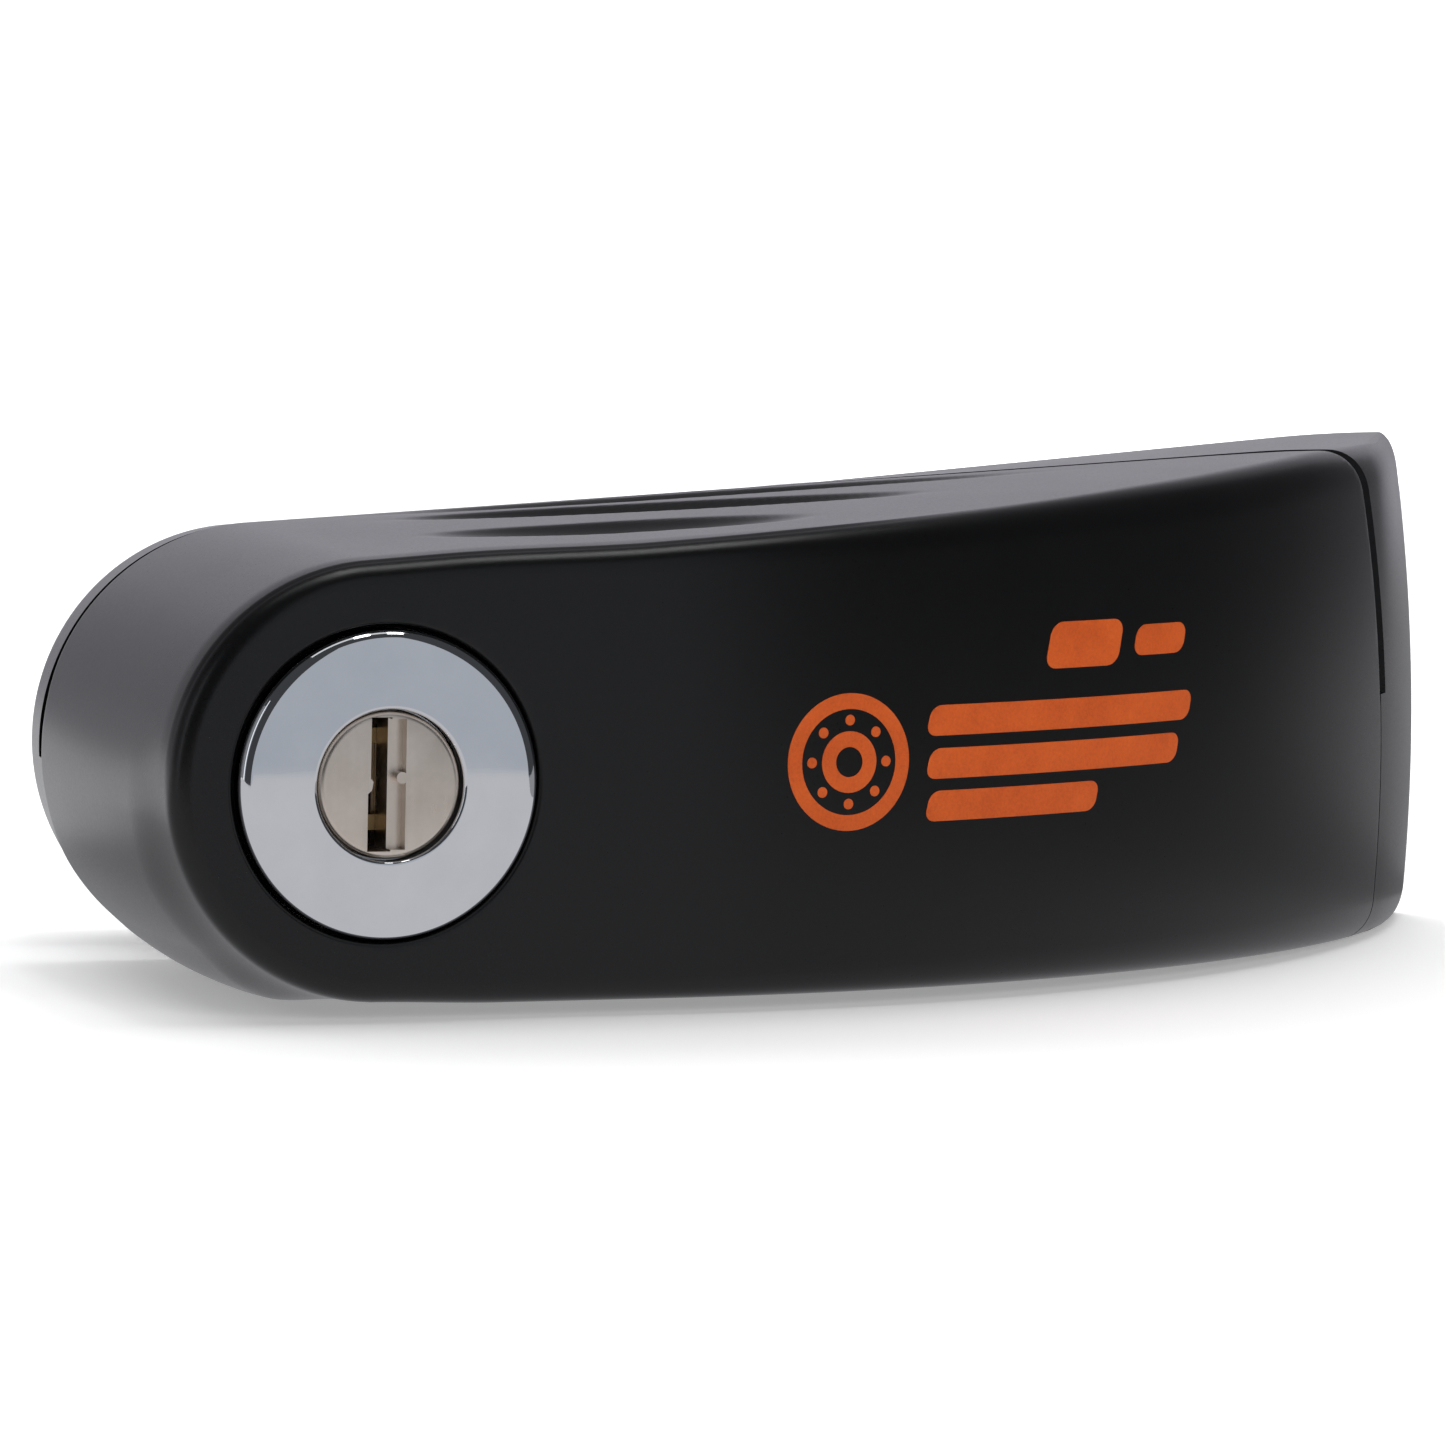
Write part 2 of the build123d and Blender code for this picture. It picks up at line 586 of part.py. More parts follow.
# --------------------------------------------------------------- key plug
WAFER_D = [3.2, 5.2, 7.2, 9.2, 11.2]
with BuildPart() as key_plug:
    with BuildSketch(Plane.XY):
        with BuildLine():
            Polyline(*ring([
                (0, -0.55), (PLUG_R - 0.15, -0.55), (PLUG_R, -0.40), (PLUG_R, 14.7), (3.9, 14.7), (3.9, 15.5),
                (PLUG_R, 15.5), (PLUG_R, 16.0), (0, 16.0),
            ]), close=True)
        make_face()
    revolve(axis=Axis.Y)
    # keyway: deep slot with a shallow ward beside it
    with BuildSketch(xz_at(13.6)):
        with BuildLine():
            Polyline(
                (-1.36, -4.05), (0.12, -4.05), (0.12, 4.15), (-1.36, 4.15), (-1.36, 0.35), (-1.12, 0.35),
                (-1.12, -0.35), (-1.36, -0.35), close=True,
            )
        make_face()
    extrude(amount=15, mode=Mode.SUBTRACT)
    with BuildSketch(xz_at(0.35)):
        with Locations((0.55, 0.05)):
            Rectangle(0.95, 8.0)
        with Locations((0.78, 0.45)):
            Circle(0.34, mode=Mode.SUBTRACT)
    extrude(amount=2, mode=Mode.SUBTRACT)
    # cross slots of the wafers
    for d in WAFER_D:
        with BuildSketch(xz_at(d + 0.5)):
            Rectangle(6.0, 10.0)
        extrude(amount=1.0, mode=Mode.SUBTRACT)
    # square tail
    with BuildSketch(xz_at(16.5)):
        Rectangle(3.6, 3.6)
    extrude(amount=0.6)

with BuildPart() as plug_wafers:
    for i, d in enumerate(WAFER_D):
        lift = (0.10, -0.12, 0.05, -0.05, 0.12)[i]
        with BuildSketch(xz_at(d + 0.45)):
            with Locations((0, lift)):
                Rectangle(5.9, 6.3)
            with Locations((-0.62, lift)):
                Rectangle(1.8, 4.4, mode=Mode.SUBTRACT)
        extrude(amount=0.9)

with BuildPart() as wafer_springs:
    for i, d in enumerate(WAFER_D):
        lift = (0.10, -0.12, 0.05, -0.05, 0.12)[i]
        with BuildSketch(Plane.XY.offset(3.15 + lift)):
            with Locations((1.6, y_at(d))):
                Circle(0.40)
                Circle(0.22, mode=Mode.SUBTRACT)
        extrude(amount=0.7)

with BuildPart() as plug_circlip:
    with BuildSketch(xz_at(15.4)):
        Circle(5.7)
        Circle(3.95, mode=Mode.SUBTRACT)
        with Locations((0, -5)):
            Rectangle(2.4, 4, mode=Mode.SUBTRACT)
    extrude(amount=0.6)

with BuildPart() as tail_cam:
    with BuildSketch(xz_at(17.15)):
        Circle(5.6)
    extrude(amount=1.15)
    with BuildSketch(xz_at(16.5)):
        Rectangle(3.6, 3.6)
    extrude(amount=0.6, mode=Mode.SUBTRACT)
    with BuildSketch(xz_at(19.4)):
        with Locations((-CRANK * sin(pi / 4), -CRANK * sin(pi / 4))):
            Circle(0.70)
    extrude(amount=19.4 - 17.1)

# ------------------------------------------------------------------ latch
with BuildPart() as latch_bolt:
    with BuildSketch(xz_at(LATCH_BACK)):
        with Locations((0, -0.6)):
            Rectangle(6.8, 7.2)
        with Locations((0, -(LATCH_TIP + 4.0) / 2)):
            Rectangle(3.0, LATCH_TIP - 4.0)
    extrude(amount=LATCH_BACK - LATCH_FRONT)
    with BuildSketch(xz_at(LATCH_BACK + 0.5)):
        with Locations((-1.35, -CRANK * sin(pi / 4))):
            Rectangle(2.9, 1.62)
    extrude(amount=4, mode=Mode.SUBTRACT)

with BuildPart() as latch_spring:
    with BuildLine() as latch_path:
        Helix(pitch=0.92, height=4.6, radius=0.95, center=(0, y_at(18.9), 3.3))
    with BuildSketch(Plane(origin=latch_path.line @ 0, z_dir=latch_path.line % 0)):
        Circle(0.22)
    sweep(is_frenet=True)

# ----------------------------------------------------------------- export
NODES = {
    "front_shell": front_shell, "rear_frame": rear_frame, "guide_sleeve": guide_sleeve,
    "guide_screw": guide_screw, "wiper_seal": wiper_seal, "pin_bush": pin_bush,
    "throat_liner": throat_liner, "long_screws": long_screws, "flush_screws": flush_screws,
    "dowel_pins": dowel_pins, "cylinder_cap": cylinder_cap, "cylinder_barrel": cylinder_barrel,
    "drill_rods": drill_rods, "pin_carrier": pin_carrier, "carrier_screws": carrier_screws,
    "barrel_oring": barrel_oring, "locking_pin": locking_pin, "cross_pin": cross_pin,
    "return_spring": return_spring, "key_plug": key_plug, "plug_wafers": plug_wafers,
    "wafer_springs": wafer_springs, "plug_circlip": plug_circlip, "tail_cam": tail_cam,
    "latch_bolt": latch_bolt, "latch_spring": latch_spring,
}
for node, piece in NODES.items():
    piece.part.label = node
    export_step(piece.part, f"parts/{node}.step")
    print(node, piece.part.is_valid, len(piece.part.solids()), round(piece.part.volume, 2))
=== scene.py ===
import math

import bmesh
import bpy
import numpy as np
from mathutils import Matrix, Vector


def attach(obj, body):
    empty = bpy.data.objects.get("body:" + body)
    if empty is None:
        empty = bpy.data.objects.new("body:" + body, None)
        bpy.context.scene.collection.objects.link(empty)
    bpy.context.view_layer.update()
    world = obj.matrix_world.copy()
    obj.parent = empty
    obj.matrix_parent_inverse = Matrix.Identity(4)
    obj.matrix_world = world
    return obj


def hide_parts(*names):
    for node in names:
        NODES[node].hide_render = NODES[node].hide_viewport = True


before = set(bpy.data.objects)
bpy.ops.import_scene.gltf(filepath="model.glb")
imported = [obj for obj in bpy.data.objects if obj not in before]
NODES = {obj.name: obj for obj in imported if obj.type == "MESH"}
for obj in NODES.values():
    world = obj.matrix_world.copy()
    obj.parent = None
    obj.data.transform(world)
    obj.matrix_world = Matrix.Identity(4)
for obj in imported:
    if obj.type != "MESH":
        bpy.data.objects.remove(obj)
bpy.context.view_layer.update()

MM = 0.001

# ------------------------------------------------------------------ camera
# mm in the row frame, straight from the fitted view
cam_data = bpy.data.cameras.new("camera")
cam_data.sensor_width = 36.0
cam_data.lens = 146.314
cam_data.clip_start = 0.02
cam_data.clip_end = 20.0
cam = bpy.data.objects.new("camera", cam_data)
right = Vector((0.93774962, -0.34660825, 0.02209929))
up = Vector((0.00727585, 0.08322067, 0.99650458))
back = -Vector((0.34723582, 0.934311, -0.08056202))
cam.matrix_world = Matrix((
    (right.x, up.x, back.x, -0.1050968),
    (right.y, up.y, back.y, -0.3782104),
    (right.z, up.z, back.z, 0.0330563),
    (0, 0, 0, 1),
))
bpy.context.scene.collection.objects.link(cam)
bpy.context.scene.camera = cam

# --------------------------------------------------------- driving numbers
FRONT = -37.0
SEAM = 29.2
PLATE_BACK = 33.2
ARM_FRONT = 40.8
BACK = 50.2
R_END_FRONT, R_END_SEAM = 13.5, 14.35
LOW_FRONT, LOW_SEAM = 13.7, 14.5
BASE_Z = -14.42
SLOPE_FRONT, SLOPE_SEAM = 0.085, 0.0717
ARC_X0, ARC_R, ARC_END_X = 18.5, 84.0, 82.15
END_X = 91.8
EDGE_MIN, EDGE_MAX, EDGE_LOW = 1.4, 3.7, 3.0
CROWN_Z, CROWN = -4.0, 0.0051
SLOT_END_X = 40.0
SLOT_W = ARM_FRONT - PLATE_BACK
X_JOIN = -1.09
REAR_V = 56.0
GROOVES = [(12.2, 9.2, 6.0, 30.8, 3.5, 0.85), (24.0, 18.4, 7.6, 42.4, 2.6, 0.80), (27.6, 26.2, 8.2, 53.2, 1.4, 0.40)]
LONG_SCREWS = [(52.0, 9.5), (52.0, -7.5), (71.0, 1.5)]
FLUSH_SCREWS = [(21.0, 7.4), (21.0, -7.4)]
DOWELS = [(24.0, 0.0), (62.0, 9.5)]
PLUG_R = 4.56


def smooth(u):
    u = np.clip(u, 0.0, 1.0)
    return u * u * (3 - 2 * u)


def front_depth(x):
    x = np.asarray(x, float)
    arc = ARC_R - np.sqrt(ARC_R ** 2 - (np.clip(x, ARC_X0, ARC_END_X) - ARC_X0) ** 2)
    u = np.maximum(x - ARC_END_X, 0)
    return arc + 1.10 * u + 0.040 * u ** 2


def growth(x):
    return smooth((np.asarray(x, float) - 16.0) / 62.0)


def top_seam(x):
    return R_END_SEAM * math.sqrt(1 + SLOPE_SEAM ** 2) + SLOPE_SEAM * x


def front_drop(x):
    """How far the top front edge sinks under its straight line."""
    x = np.asarray(x, float)
    return 0.42 * smooth((x - 4.0) / 14.0) + 0.28 * smooth((x - 18.0) / 26.0)


def top_front(x):
    return np.minimum(R_END_FRONT * math.sqrt(1 + SLOPE_FRONT ** 2) + SLOPE_FRONT * x, top_seam(x) - 0.1) - front_drop(x)


def crown(x):
    """Crown of the front, depth per height squared."""
    return CROWN * growth(x) * (1 + 0.45 * smooth((np.asarray(x, float) - 82.0) / 8.0))


def front_at(x, z):
    """Depth of the front surface, away from its rounded edges."""
    return front_depth(x) + crown(x) * (np.asarray(z, float) - CROWN_Z) ** 2


# ------------------------------------------------------------ mesh helpers
def new_object(name, mesh):
    o = bpy.data.objects.new(name, mesh)
    bpy.context.scene.collection.objects.link(o)
    return o


def from_points(name, verts, faces):
    """verts: (x, depth, z) in mm."""
    v = np.asarray(verts, float)
    v = np.column_stack([v[:, 0], v[:, 1] + FRONT, v[:, 2]]) * MM
    me = bpy.data.meshes.new(name)
    me.from_pydata([tuple(p) for p in v], [], [tuple(int(i) for i in f) for f in faces])
    me.validate()
    bm = bmesh.new()
    bm.from_mesh(me)
    bmesh.ops.recalc_face_normals(bm, faces=bm.faces)
    bm.to_mesh(me)
    bm.free()
    return new_object(name, me)


def arc_pts(cx, cy, r, a0, a1, n):
    return [(cx + r * math.cos(math.radians(a0 + (a1 - a0) * i / n)), cy + r * math.sin(math.radians(a0 + (a1 - a0) * i / n))) for i in range(n + 1)]


def lathe(name, profile, n=160, cx=0.0, cz=0.0):
    """Closed (radius, depth) profile turned about an axis along Y."""
    verts, rings = [], []
    for r, d in profile:
        if r < 1e-9:
            rings.append([len(verts)])
            verts.append((cx, d, cz))
        else:
            rings.append(list(range(len(verts), len(verts) + n)))
            verts += [(cx + r * math.cos(2 * math.pi * k / n), d, cz + r * math.sin(2 * math.pi * k / n)) for k in range(n)]
    faces = []
    m = len(profile)
    for i in range(m):
        a, b = rings[i], rings[(i + 1) % m]
        if len(a) == 1 and len(b) == 1:
            continue
        for k in range(n):
            q = [a[k % len(a)], a[(k + 1) % n if len(a) > 1 else 0], b[(k + 1) % n if len(b) > 1 else 0], b[k % len(b)]]
            u = []
            for idx in q:
                if idx not in u:
                    u.append(idx)
            faces.append(u)
    return from_points(name, verts, faces)


def prism(name, poly, d0, d1):
    """XZ polygon between two depths."""
    n = len(poly)
    verts = [(x, d0, z) for x, z in poly] + [(x, d1, z) for x, z in poly]
    faces = [list(range(n)), list(range(2 * n - 1, n - 1, -1))]
    faces += [[i, (i + 1) % n, n + (i + 1) % n, n + i] for i in range(n)]
    return from_points(name, verts, faces)


def flat_prism(name, poly, z0, z1):
    """(x, depth) polygon between two heights."""
    n = len(poly)
    verts = [(x, d, z0) for x, d in poly] + [(x, d, z1) for x, d in poly]
    faces = [list(range(n)), list(range(2 * n - 1, n - 1, -1))]
    faces += [[i, (i + 1) % n, n + (i + 1) % n, n + i] for i in range(n)]
    return from_points(name, verts, faces)


def ruled(name, poly_a, da, poly_b, db, ea=0.0, eb=0.0):
    """Solid ruled between two XZ polygons, run on past each by ea and eb."""
    a, b = np.array(poly_a, float), np.array(poly_b, float)
    s = (b - a) / (db - da)
    a2, b2 = a - s * ea, b + s * eb
    n = len(a)
    verts = [(x, da - ea, z) for x, z in a2] + [(x, db + eb, z) for x, z in b2]
    faces = [list(range(n)), list(range(2 * n - 1, n - 1, -1))]
    faces += [[i, (i + 1) % n, n + (i + 1) % n, n + i] for i in range(n)]
    return from_points(name, verts, faces)


def drop(o):
    me = o.data
    bpy.data.objects.remove(o)
    if me.users == 0:
        bpy.data.meshes.remove(me)


def boolean(o, cutter, op="DIFFERENCE"):
    m = o.modifiers.new("b", "BOOLEAN")
    m.operation = op
    m.solver = "EXACT"
    m.object = cutter
    bpy.context.view_layer.update()
    dg = bpy.context.evaluated_depsgraph_get()
    me = bpy.data.meshes.new_from_object(o.evaluated_get(dg))
    old = o.data
    o.modifiers.clear()
    o.data = me
    if old.users == 0:
        bpy.data.meshes.remove(old)
    drop(cutter)
    return o


def join(name, objs):
    """One mesh from disjoint closed meshes."""
    bm = bmesh.new()
    for o in objs:
        bm.from_mesh(o.data)
    me = bpy.data.meshes.new(name)
    bm.to_mesh(me)
    bm.free()
    for o in objs:
        drop(o)
    return new_object(name, me)


def tidy(o, angle=32.0, dist=0.004):
    """Merges stray points and shades the smooth parts smoothly."""
    bm = bmesh.new()
    bm.from_mesh(o.data)
    bmesh.ops.remove_doubles(bm, verts=bm.verts, dist=dist * MM)
    bmesh.ops.dissolve_degenerate(bm, dist=dist * MM * 0.5, edges=bm.edges)
    loose = [v for v in bm.verts if not v.link_faces]
    bmesh.ops.delete(bm, geom=loose, context="VERTS")
    bm.to_mesh(o.data)
    bm.free()
    o.data.shade_smooth()
    o.data.set_sharp_from_angle(angle=math.radians(angle))
    w = o.modifiers.new("even_normals", "WEIGHTED_NORMAL")
    w.mode = "FACE_AREA"
    w.keep_sharp = True
    return o


def keep_side(o, depth, front=True):
    """Cuts o with the plane at a depth, keeps one side and closes it."""
    bm = bmesh.new()
    bm.from_mesh(o.data)
    y = (depth + FRONT) * MM
    geom = bm.verts[:] + bm.edges[:] + bm.faces[:]
    r = bmesh.ops.bisect_plane(bm, geom=geom, dist=1e-7, plane_co=(0, y, 0), plane_no=(0, 1, 0), clear_outer=front, clear_inner=not front)
    edges = [e for e in r["geom_cut"] if isinstance(e, bmesh.types.BMEdge)]
    bmesh.ops.contextual_create(bm, geom=edges)
    bmesh.ops.recalc_face_normals(bm, faces=bm.faces)
    bm.to_mesh(o.data)
    bm.free()
    return o


def cut_rounded(o, depth, size):
    """Keeps the part of o in front of a depth, with its rear edge rounded.
    size(x, z) is the rounding there, in mm."""
    bm = bmesh.new()
    bm.from_mesh(o.data)
    big = 0.30
    for back_off in (big, big * 0.62, big * 0.34, big * 0.14, 0.0):
        y = (depth - back_off + FRONT) * MM
        bmesh.ops.bisect_plane(bm, geom=bm.verts[:] + bm.edges[:] + bm.faces[:], dist=1e-8, plane_co=(0, y, 0), plane_no=(0, 1, 0))
    bm.normal_update()
    y = (depth + FRONT) * MM
    moved = []
    for v in bm.verts:
        off = (y - v.co.y) / MM
        if -1e-4 < off < big + 1e-4:
            n = Vector((v.normal.x, 0, v.normal.z))
            if n.length > 1e-6:
                n.normalize()
                k = 1 - off / big
                r = size(v.co.x / MM, v.co.z / MM)
                moved.append((v, v.co - n * (r * (1 - math.sqrt(max(0.0, 1 - k * k))) * MM)))
    for v, co in moved:
        v.co = co
    gone = [v for v in bm.verts if v.co.y > y + 1e-8]
    bmesh.ops.delete(bm, geom=gone, context="VERTS")
    rim = [e for e in bm.edges if len(e.link_faces) == 1]
    bmesh.ops.contextual_create(bm, geom=rim)
    bmesh.ops.recalc_face_normals(bm, faces=bm.faces)
    bm.to_mesh(o.data)
    bm.free()
    return o


def seam_round(x, z):
    """Bigger rounding along the open part of the seam."""
    above = z - (-1.4 + 5.2 * (x + 30) / 140)
    return 0.07 + 0.23 * float(smooth(above / 1.5 + 0.5))


# ---------------------------------------------------------------- envelope
def groove_depth(x, t):
    """How far the finger grooves sink the top, soft at their edges."""
    total = np.zeros(np.broadcast(x, t).shape)
    for ta, tb, xa, xb, half_w, sag in GROOVES:
        over = (half_w ** 2 - sag ** 2) / (2 * sag)
        dx, dt = xb - xa, tb - ta
        flat = math.hypot(dx, dt)
        rise = dx * (SLOPE_FRONT + (SLOPE_SEAM - SLOPE_FRONT) * (ta + tb) / 2 / SEAM)
        half = math.hypot(flat, rise) / 2
        px, pt = x - (xa + xb) / 2, t - (ta + tb) / 2
        s = (px * dx + pt * dt) / flat * (2 * half / flat)
        rg = (half ** 2 + sag ** 2) / (2 * sag)
        d = np.sqrt(np.maximum(rg ** 2 - s ** 2, 0)) - (rg - sag)
        rho = np.maximum(over + d, 0.0)
        v = (pt * dx - px * dt) / flat
        inside = rho ** 2 - v ** 2
        g = np.where(inside > 0, np.sqrt(np.maximum(inside, 0)) - over, -over)
        total = np.maximum(total, 0.5 * (g + np.sqrt(g ** 2 + 0.06 ** 2)) * smooth((g + 0.5) / 0.5))
    return total


def bulge(phi_deg, t):
    """Extra radius of the rounded end, low on its outer side."""
    p = np.asarray(phi_deg, float)
    a = 0.30 * smooth((p - 165) / 25) + 0.32 * smooth((p - 190) / 22) + 0.38 * smooth((p - 228) / 16)
    a = a * (1 - 0.80 * smooth((p - 249) / 20))
    c = 1.27 * (1 - 0.62 * ((t - 14.0) / 16.0) ** 2) * smooth((t - 0.6) / 8.0)
    return a * np.where(t < 29.2, c, 0.56)


def top_trim(x):
    """Small rise of the top at mid length, small fall at the bridge."""
    x = np.asarray(x, float)
    return 0.16 * smooth((x - 20) / 24) * (1 - smooth((x - 68) / 16)) - 0.62 * smooth((x - 73) / 16)


def top_rise(x, t):
    """Small rise of the top at the rounded end."""
    return 0.20 * (1 - smooth((np.asarray(x, float) - 10) / 40)) * smooth(t / 3.0)


N_SIDE, N_FIL, N_FRONT = 118, 12, 56
w_fine = np.linspace(0, 1, 97) * (30.2 / 54.0)
w_rest = np.linspace(30.2 / 54.0, 1, N_SIDE - 96)[1:]
W_SIDE = np.concatenate([w_fine, w_rest])          # 0 at the front edge, 1 at the rear
N_SIDE = len(W_SIDE)


def fillet_points(f, kap_at, zline, m, r, sign):
    """Tangent circle between the front curve and a side line.
    Returns front tangent height, centre (t, z)."""
    zp = zline(f + r) - sign * r
    for _ in range(25):
        kap = kap_at(zp)
        s = math.sqrt(1 + kap ** 2)
        tc = f + CR * (zp - CROWN_Z) ** 2 + r / s
        zc = zp - r * kap / s
        want = zline(tc) - sign * r * math.sqrt(1 + m ** 2)
        zp = zp + (want - zc)
    return zp, tc, zc


def ring_at(x):
    """One YZ section of the body: (t, z) from the lower rear to the upper rear."""
    global CR
    f = float(front_depth(x))
    g = float(growth(x))
    CR = float(crown(x))
    kap_at = lambda z: 2 * CR * (z - CROWN_Z)
    lift = float(top_trim(x))
    mt = float((top_seam(x) - top_front(x)) / SEAM)
    mb = (LOW_SEAM - LOW_FRONT) / SEAM
    near = 1 - float(smooth((x - X_JOIN) / 9.0))
    low_f = LOW_FRONT * (1 - near) + R_END_FRONT * near
    top_line = lambda t: float(top_front(x)) + mt * t + lift
    low_line = lambda t: -(low_f + mb * t)
    rt = EDGE_MIN + (EDGE_MAX - EDGE_MIN) * g
    rb = EDGE_MIN + (EDGE_LOW - EDGE_MIN) * g
    zpt, tct, zct = fillet_points(f, kap_at, top_line, mt, rt, 1)
    zpb, tcb, zcb = fillet_points(f, kap_at, low_line, mb, rb, -1)
    pts = []
    # underside, rear to front
    t0 = tcb + rb * (-mb) / math.sqrt(1 + mb ** 2)
    for w in W_SIDE[::-1]:
        t = t0 + (REAR_V - t0) * w
        pts.append((t, low_line(t)))
    # lower fillet
    a0 = math.atan2(-1, -mb)
    kap = kap_at(zpb)
    a1 = math.atan2(kap, -1)
    if a1 > 0:
        a1 -= 2 * math.pi
    for i in range(1, N_FIL):
        a = a0 + (a1 - a0) * i / N_FIL
        pts.append((tcb + rb * math.cos(a), zcb + rb * math.sin(a)))
    # front
    for i in range(N_FRONT + 1):
        z = zpb + (zpt - zpb) * i / N_FRONT
        pts.append((f + CR * (z - CROWN_Z) ** 2, z))
    # upper fillet
    kap = kap_at(zpt)
    b0 = math.atan2(kap, -1)
    if b0 < 0:
        b0 += 2 * math.pi
    b1 = math.atan2(1, -mt)
    for i in range(1, N_FIL):
        a = b0 + (b1 - b0) * i / N_FIL
        pts.append((tct + rt * math.cos(a), zct + rt * math.sin(a)))
    t1 = tct + rt * (-mt) / math.sqrt(1 + mt ** 2)
    for w in W_SIDE:
        t = t1 + (REAR_V - t1) * w
        pts.append((t, top_line(t)))
    p = np.array(pts)
    # underside stays on its flat base, plus what is left of the low bulge
    n_low = N_SIDE
    t_low = p[:n_low, 0]
    extra = bulge(265.4, t_low) * (1 - float(smooth((x - X_JOIN) / 10.0)))
    z = np.maximum(p[:n_low, 1], BASE_Z) - extra
    p[:n_low, 1] = z
    # grooves in the top
    tt = p[-N_SIDE:, 0]
    p[-N_SIDE:, 1] += top_rise(x, tt) - groove_depth(np.full_like(tt, x), tt)
    return p


def end_profile():
    """(t, r) of the turned end from the rear to the front plane."""
    m = (R_END_SEAM - R_END_FRONT) / SEAM
    r = EDGE_MIN
    tc = r
    rc = R_END_FRONT + m * tc - r * math.sqrt(1 + m ** 2)
    t0 = tc + r * (-m) / math.sqrt(1 + m ** 2)
    pts = [(t0 + (REAR_V - t0) * w, R_END_FRONT + m * (t0 + (REAR_V - t0) * w)) for w in W_SIDE[::-1]]
    a0 = math.atan2(1, -m)
    for i in range(1, N_FIL + 1):
        a = a0 + (math.pi - a0) * i / N_FIL
        pts.append((tc + r * math.cos(a), rc + r * math.sin(a)))
    return np.array(pts)


def make_envelope():
    xs = np.concatenate([
        np.linspace(X_JOIN, 60, 100), np.linspace(60, 93.5, 68)[1:],
    ])
    rings = [ring_at(x) for x in xs]
    prof = end_profile()
    m = len(prof)
    phi_t = math.degrees(math.atan2(math.sqrt(R_END_FRONT ** 2 - X_JOIN ** 2), X_JOIN))
    phi_b = 360 - phi_t
    n_phi = 150
    phis = np.linspace(phi_t, phi_b, n_phi + 1)
    is_side = np.arange(m) < N_SIDE
    verts, cols = [], []
    for phi in phis:
        t = prof[:, 0]
        r = prof[:, 1].copy()
        flat = np.where(is_side, 1.0, 0.0)
        r = r + flat * bulge(phi, t)
        r = r + flat * 0.20 * smooth((190 - phi) / 40) * smooth(t / 3.0)
        c, s = math.cos(math.radians(phi)), math.sin(math.radians(phi))
        cols.append(list(range(len(verts), len(verts) + m)))
        verts += [(rr * c, tt, rr * s) for tt, rr in zip(t, r)]
    faces = []
    for i in range(n_phi):
        for j in range(m - 1):
            faces.append([cols[i][j], cols[i][j + 1], cols[i + 1][j + 1], cols[i + 1][j]])
    top, bot = cols[0], cols[-1]
    # first ring of the long body: lower profile, front line, upper profile
    first = list(bot)
    zb, zt = verts[bot[-1]], verts[top[-1]]
    for i in range(1, N_FRONT):
        k = i / N_FRONT
        first.append(len(verts))
        verts.append(tuple(zb[q] + (zt[q] - zb[q]) * k for q in range(3)))
    first += list(top[::-1])
    ring_ids = [first]
    for x, p in zip(xs[1:], rings[1:]):
        ring_ids.append(list(range(len(verts), len(verts) + len(p))))
        verts += [(x, t, z) for t, z in p]
    n = len(first)
    assert all(len(r) == n for r in ring_ids), [len(r) for r in ring_ids[:3]]
    for a, b in zip(ring_ids[:-1], ring_ids[1:]):
        for j in range(n - 1):
            faces.append([a[j], a[j + 1], b[j + 1], b[j]])
        # rear
        faces.append([a[n - 1], a[0], b[0], b[n - 1]])
    faces.append(ring_ids[-1])
    # flat front and rear of the turned end
    front_loop = [c[-1] for c in cols] + first[len(bot):-len(top)]
    faces.append(front_loop)
    faces.append([c[0] for c in cols])
    return from_points("envelope", verts, faces)


def copy_of(o, name):
    return new_object(name, o.data.copy())


envelope = make_envelope()
plan = [(-20, -5), (END_X, -5), (END_X, BACK - 8.5)] + [
    (END_X - 8.5 + 8.5 * math.cos(a), BACK - 8.5 + 8.5 * math.sin(a)) for a in np.linspace(0, math.pi / 2, 25)[1:]
] + [(-20, BACK)]

# ------------------------------------------------------------- front shell
shell = cut_rounded(copy_of(envelope, "shell_casting"), SEAM, seam_round)
mouth = [(9.75 + 0.30 * (1 - math.sin(a)), 0.30 * (1 - math.cos(a))) for a in np.linspace(0, math.pi / 2, 7)]
bore = lathe("bore", [(0, -1.0), (10.05, -1.0)] + mouth + [
    (9.75, 1.3), (11.0, 1.3), (11.0, 2.7), (9.75, 2.7), (9.75, 3.2), (12.0, 3.2), (12.0, SEAM + 1), (0, SEAM + 1),
], n=192)
boolean(shell, bore)
pocket = prism("pocket", [(27, -10.6), (77.5, -10.6), (76.5, 13.0), (73, 15.0), (27, 12.4)], 3.4, SEAM + 0.5)
pocket_plan = [(10, 3.6), (ARC_X0, 3.6)] + [
    (ARC_X0 + (ARC_R - 3.6) * math.sin(a), ARC_R - (ARC_R - 3.6) * math.cos(a)) for a in np.linspace(0, math.radians(50), 41)[1:]
]
pocket_plan += [(10, pocket_plan[-1][1])]
boolean(pocket, flat_prism("plan", pocket_plan, -20, 30), "INTERSECT")
boolean(pocket, join("bosses", [
    lathe("boss", [(0, -1), (5.2, -1), (5.2, SEAM + 2), (0, SEAM + 2)], 64, *LONG_SCREWS[0]),
    lathe("boss", [(0, -1), (5.2, -1), (5.2, SEAM + 2), (0, SEAM + 2)], 64, *LONG_SCREWS[1]),
    lathe("boss", [(0, -1), (5.2, -1), (5.2, SEAM + 2), (0, SEAM + 2)], 64, *LONG_SCREWS[2]),
    prism("rib", [(39.9, -19), (42.1, -19), (42.1, 21), (39.9, 21)], -1, SEAM + 2),
]))
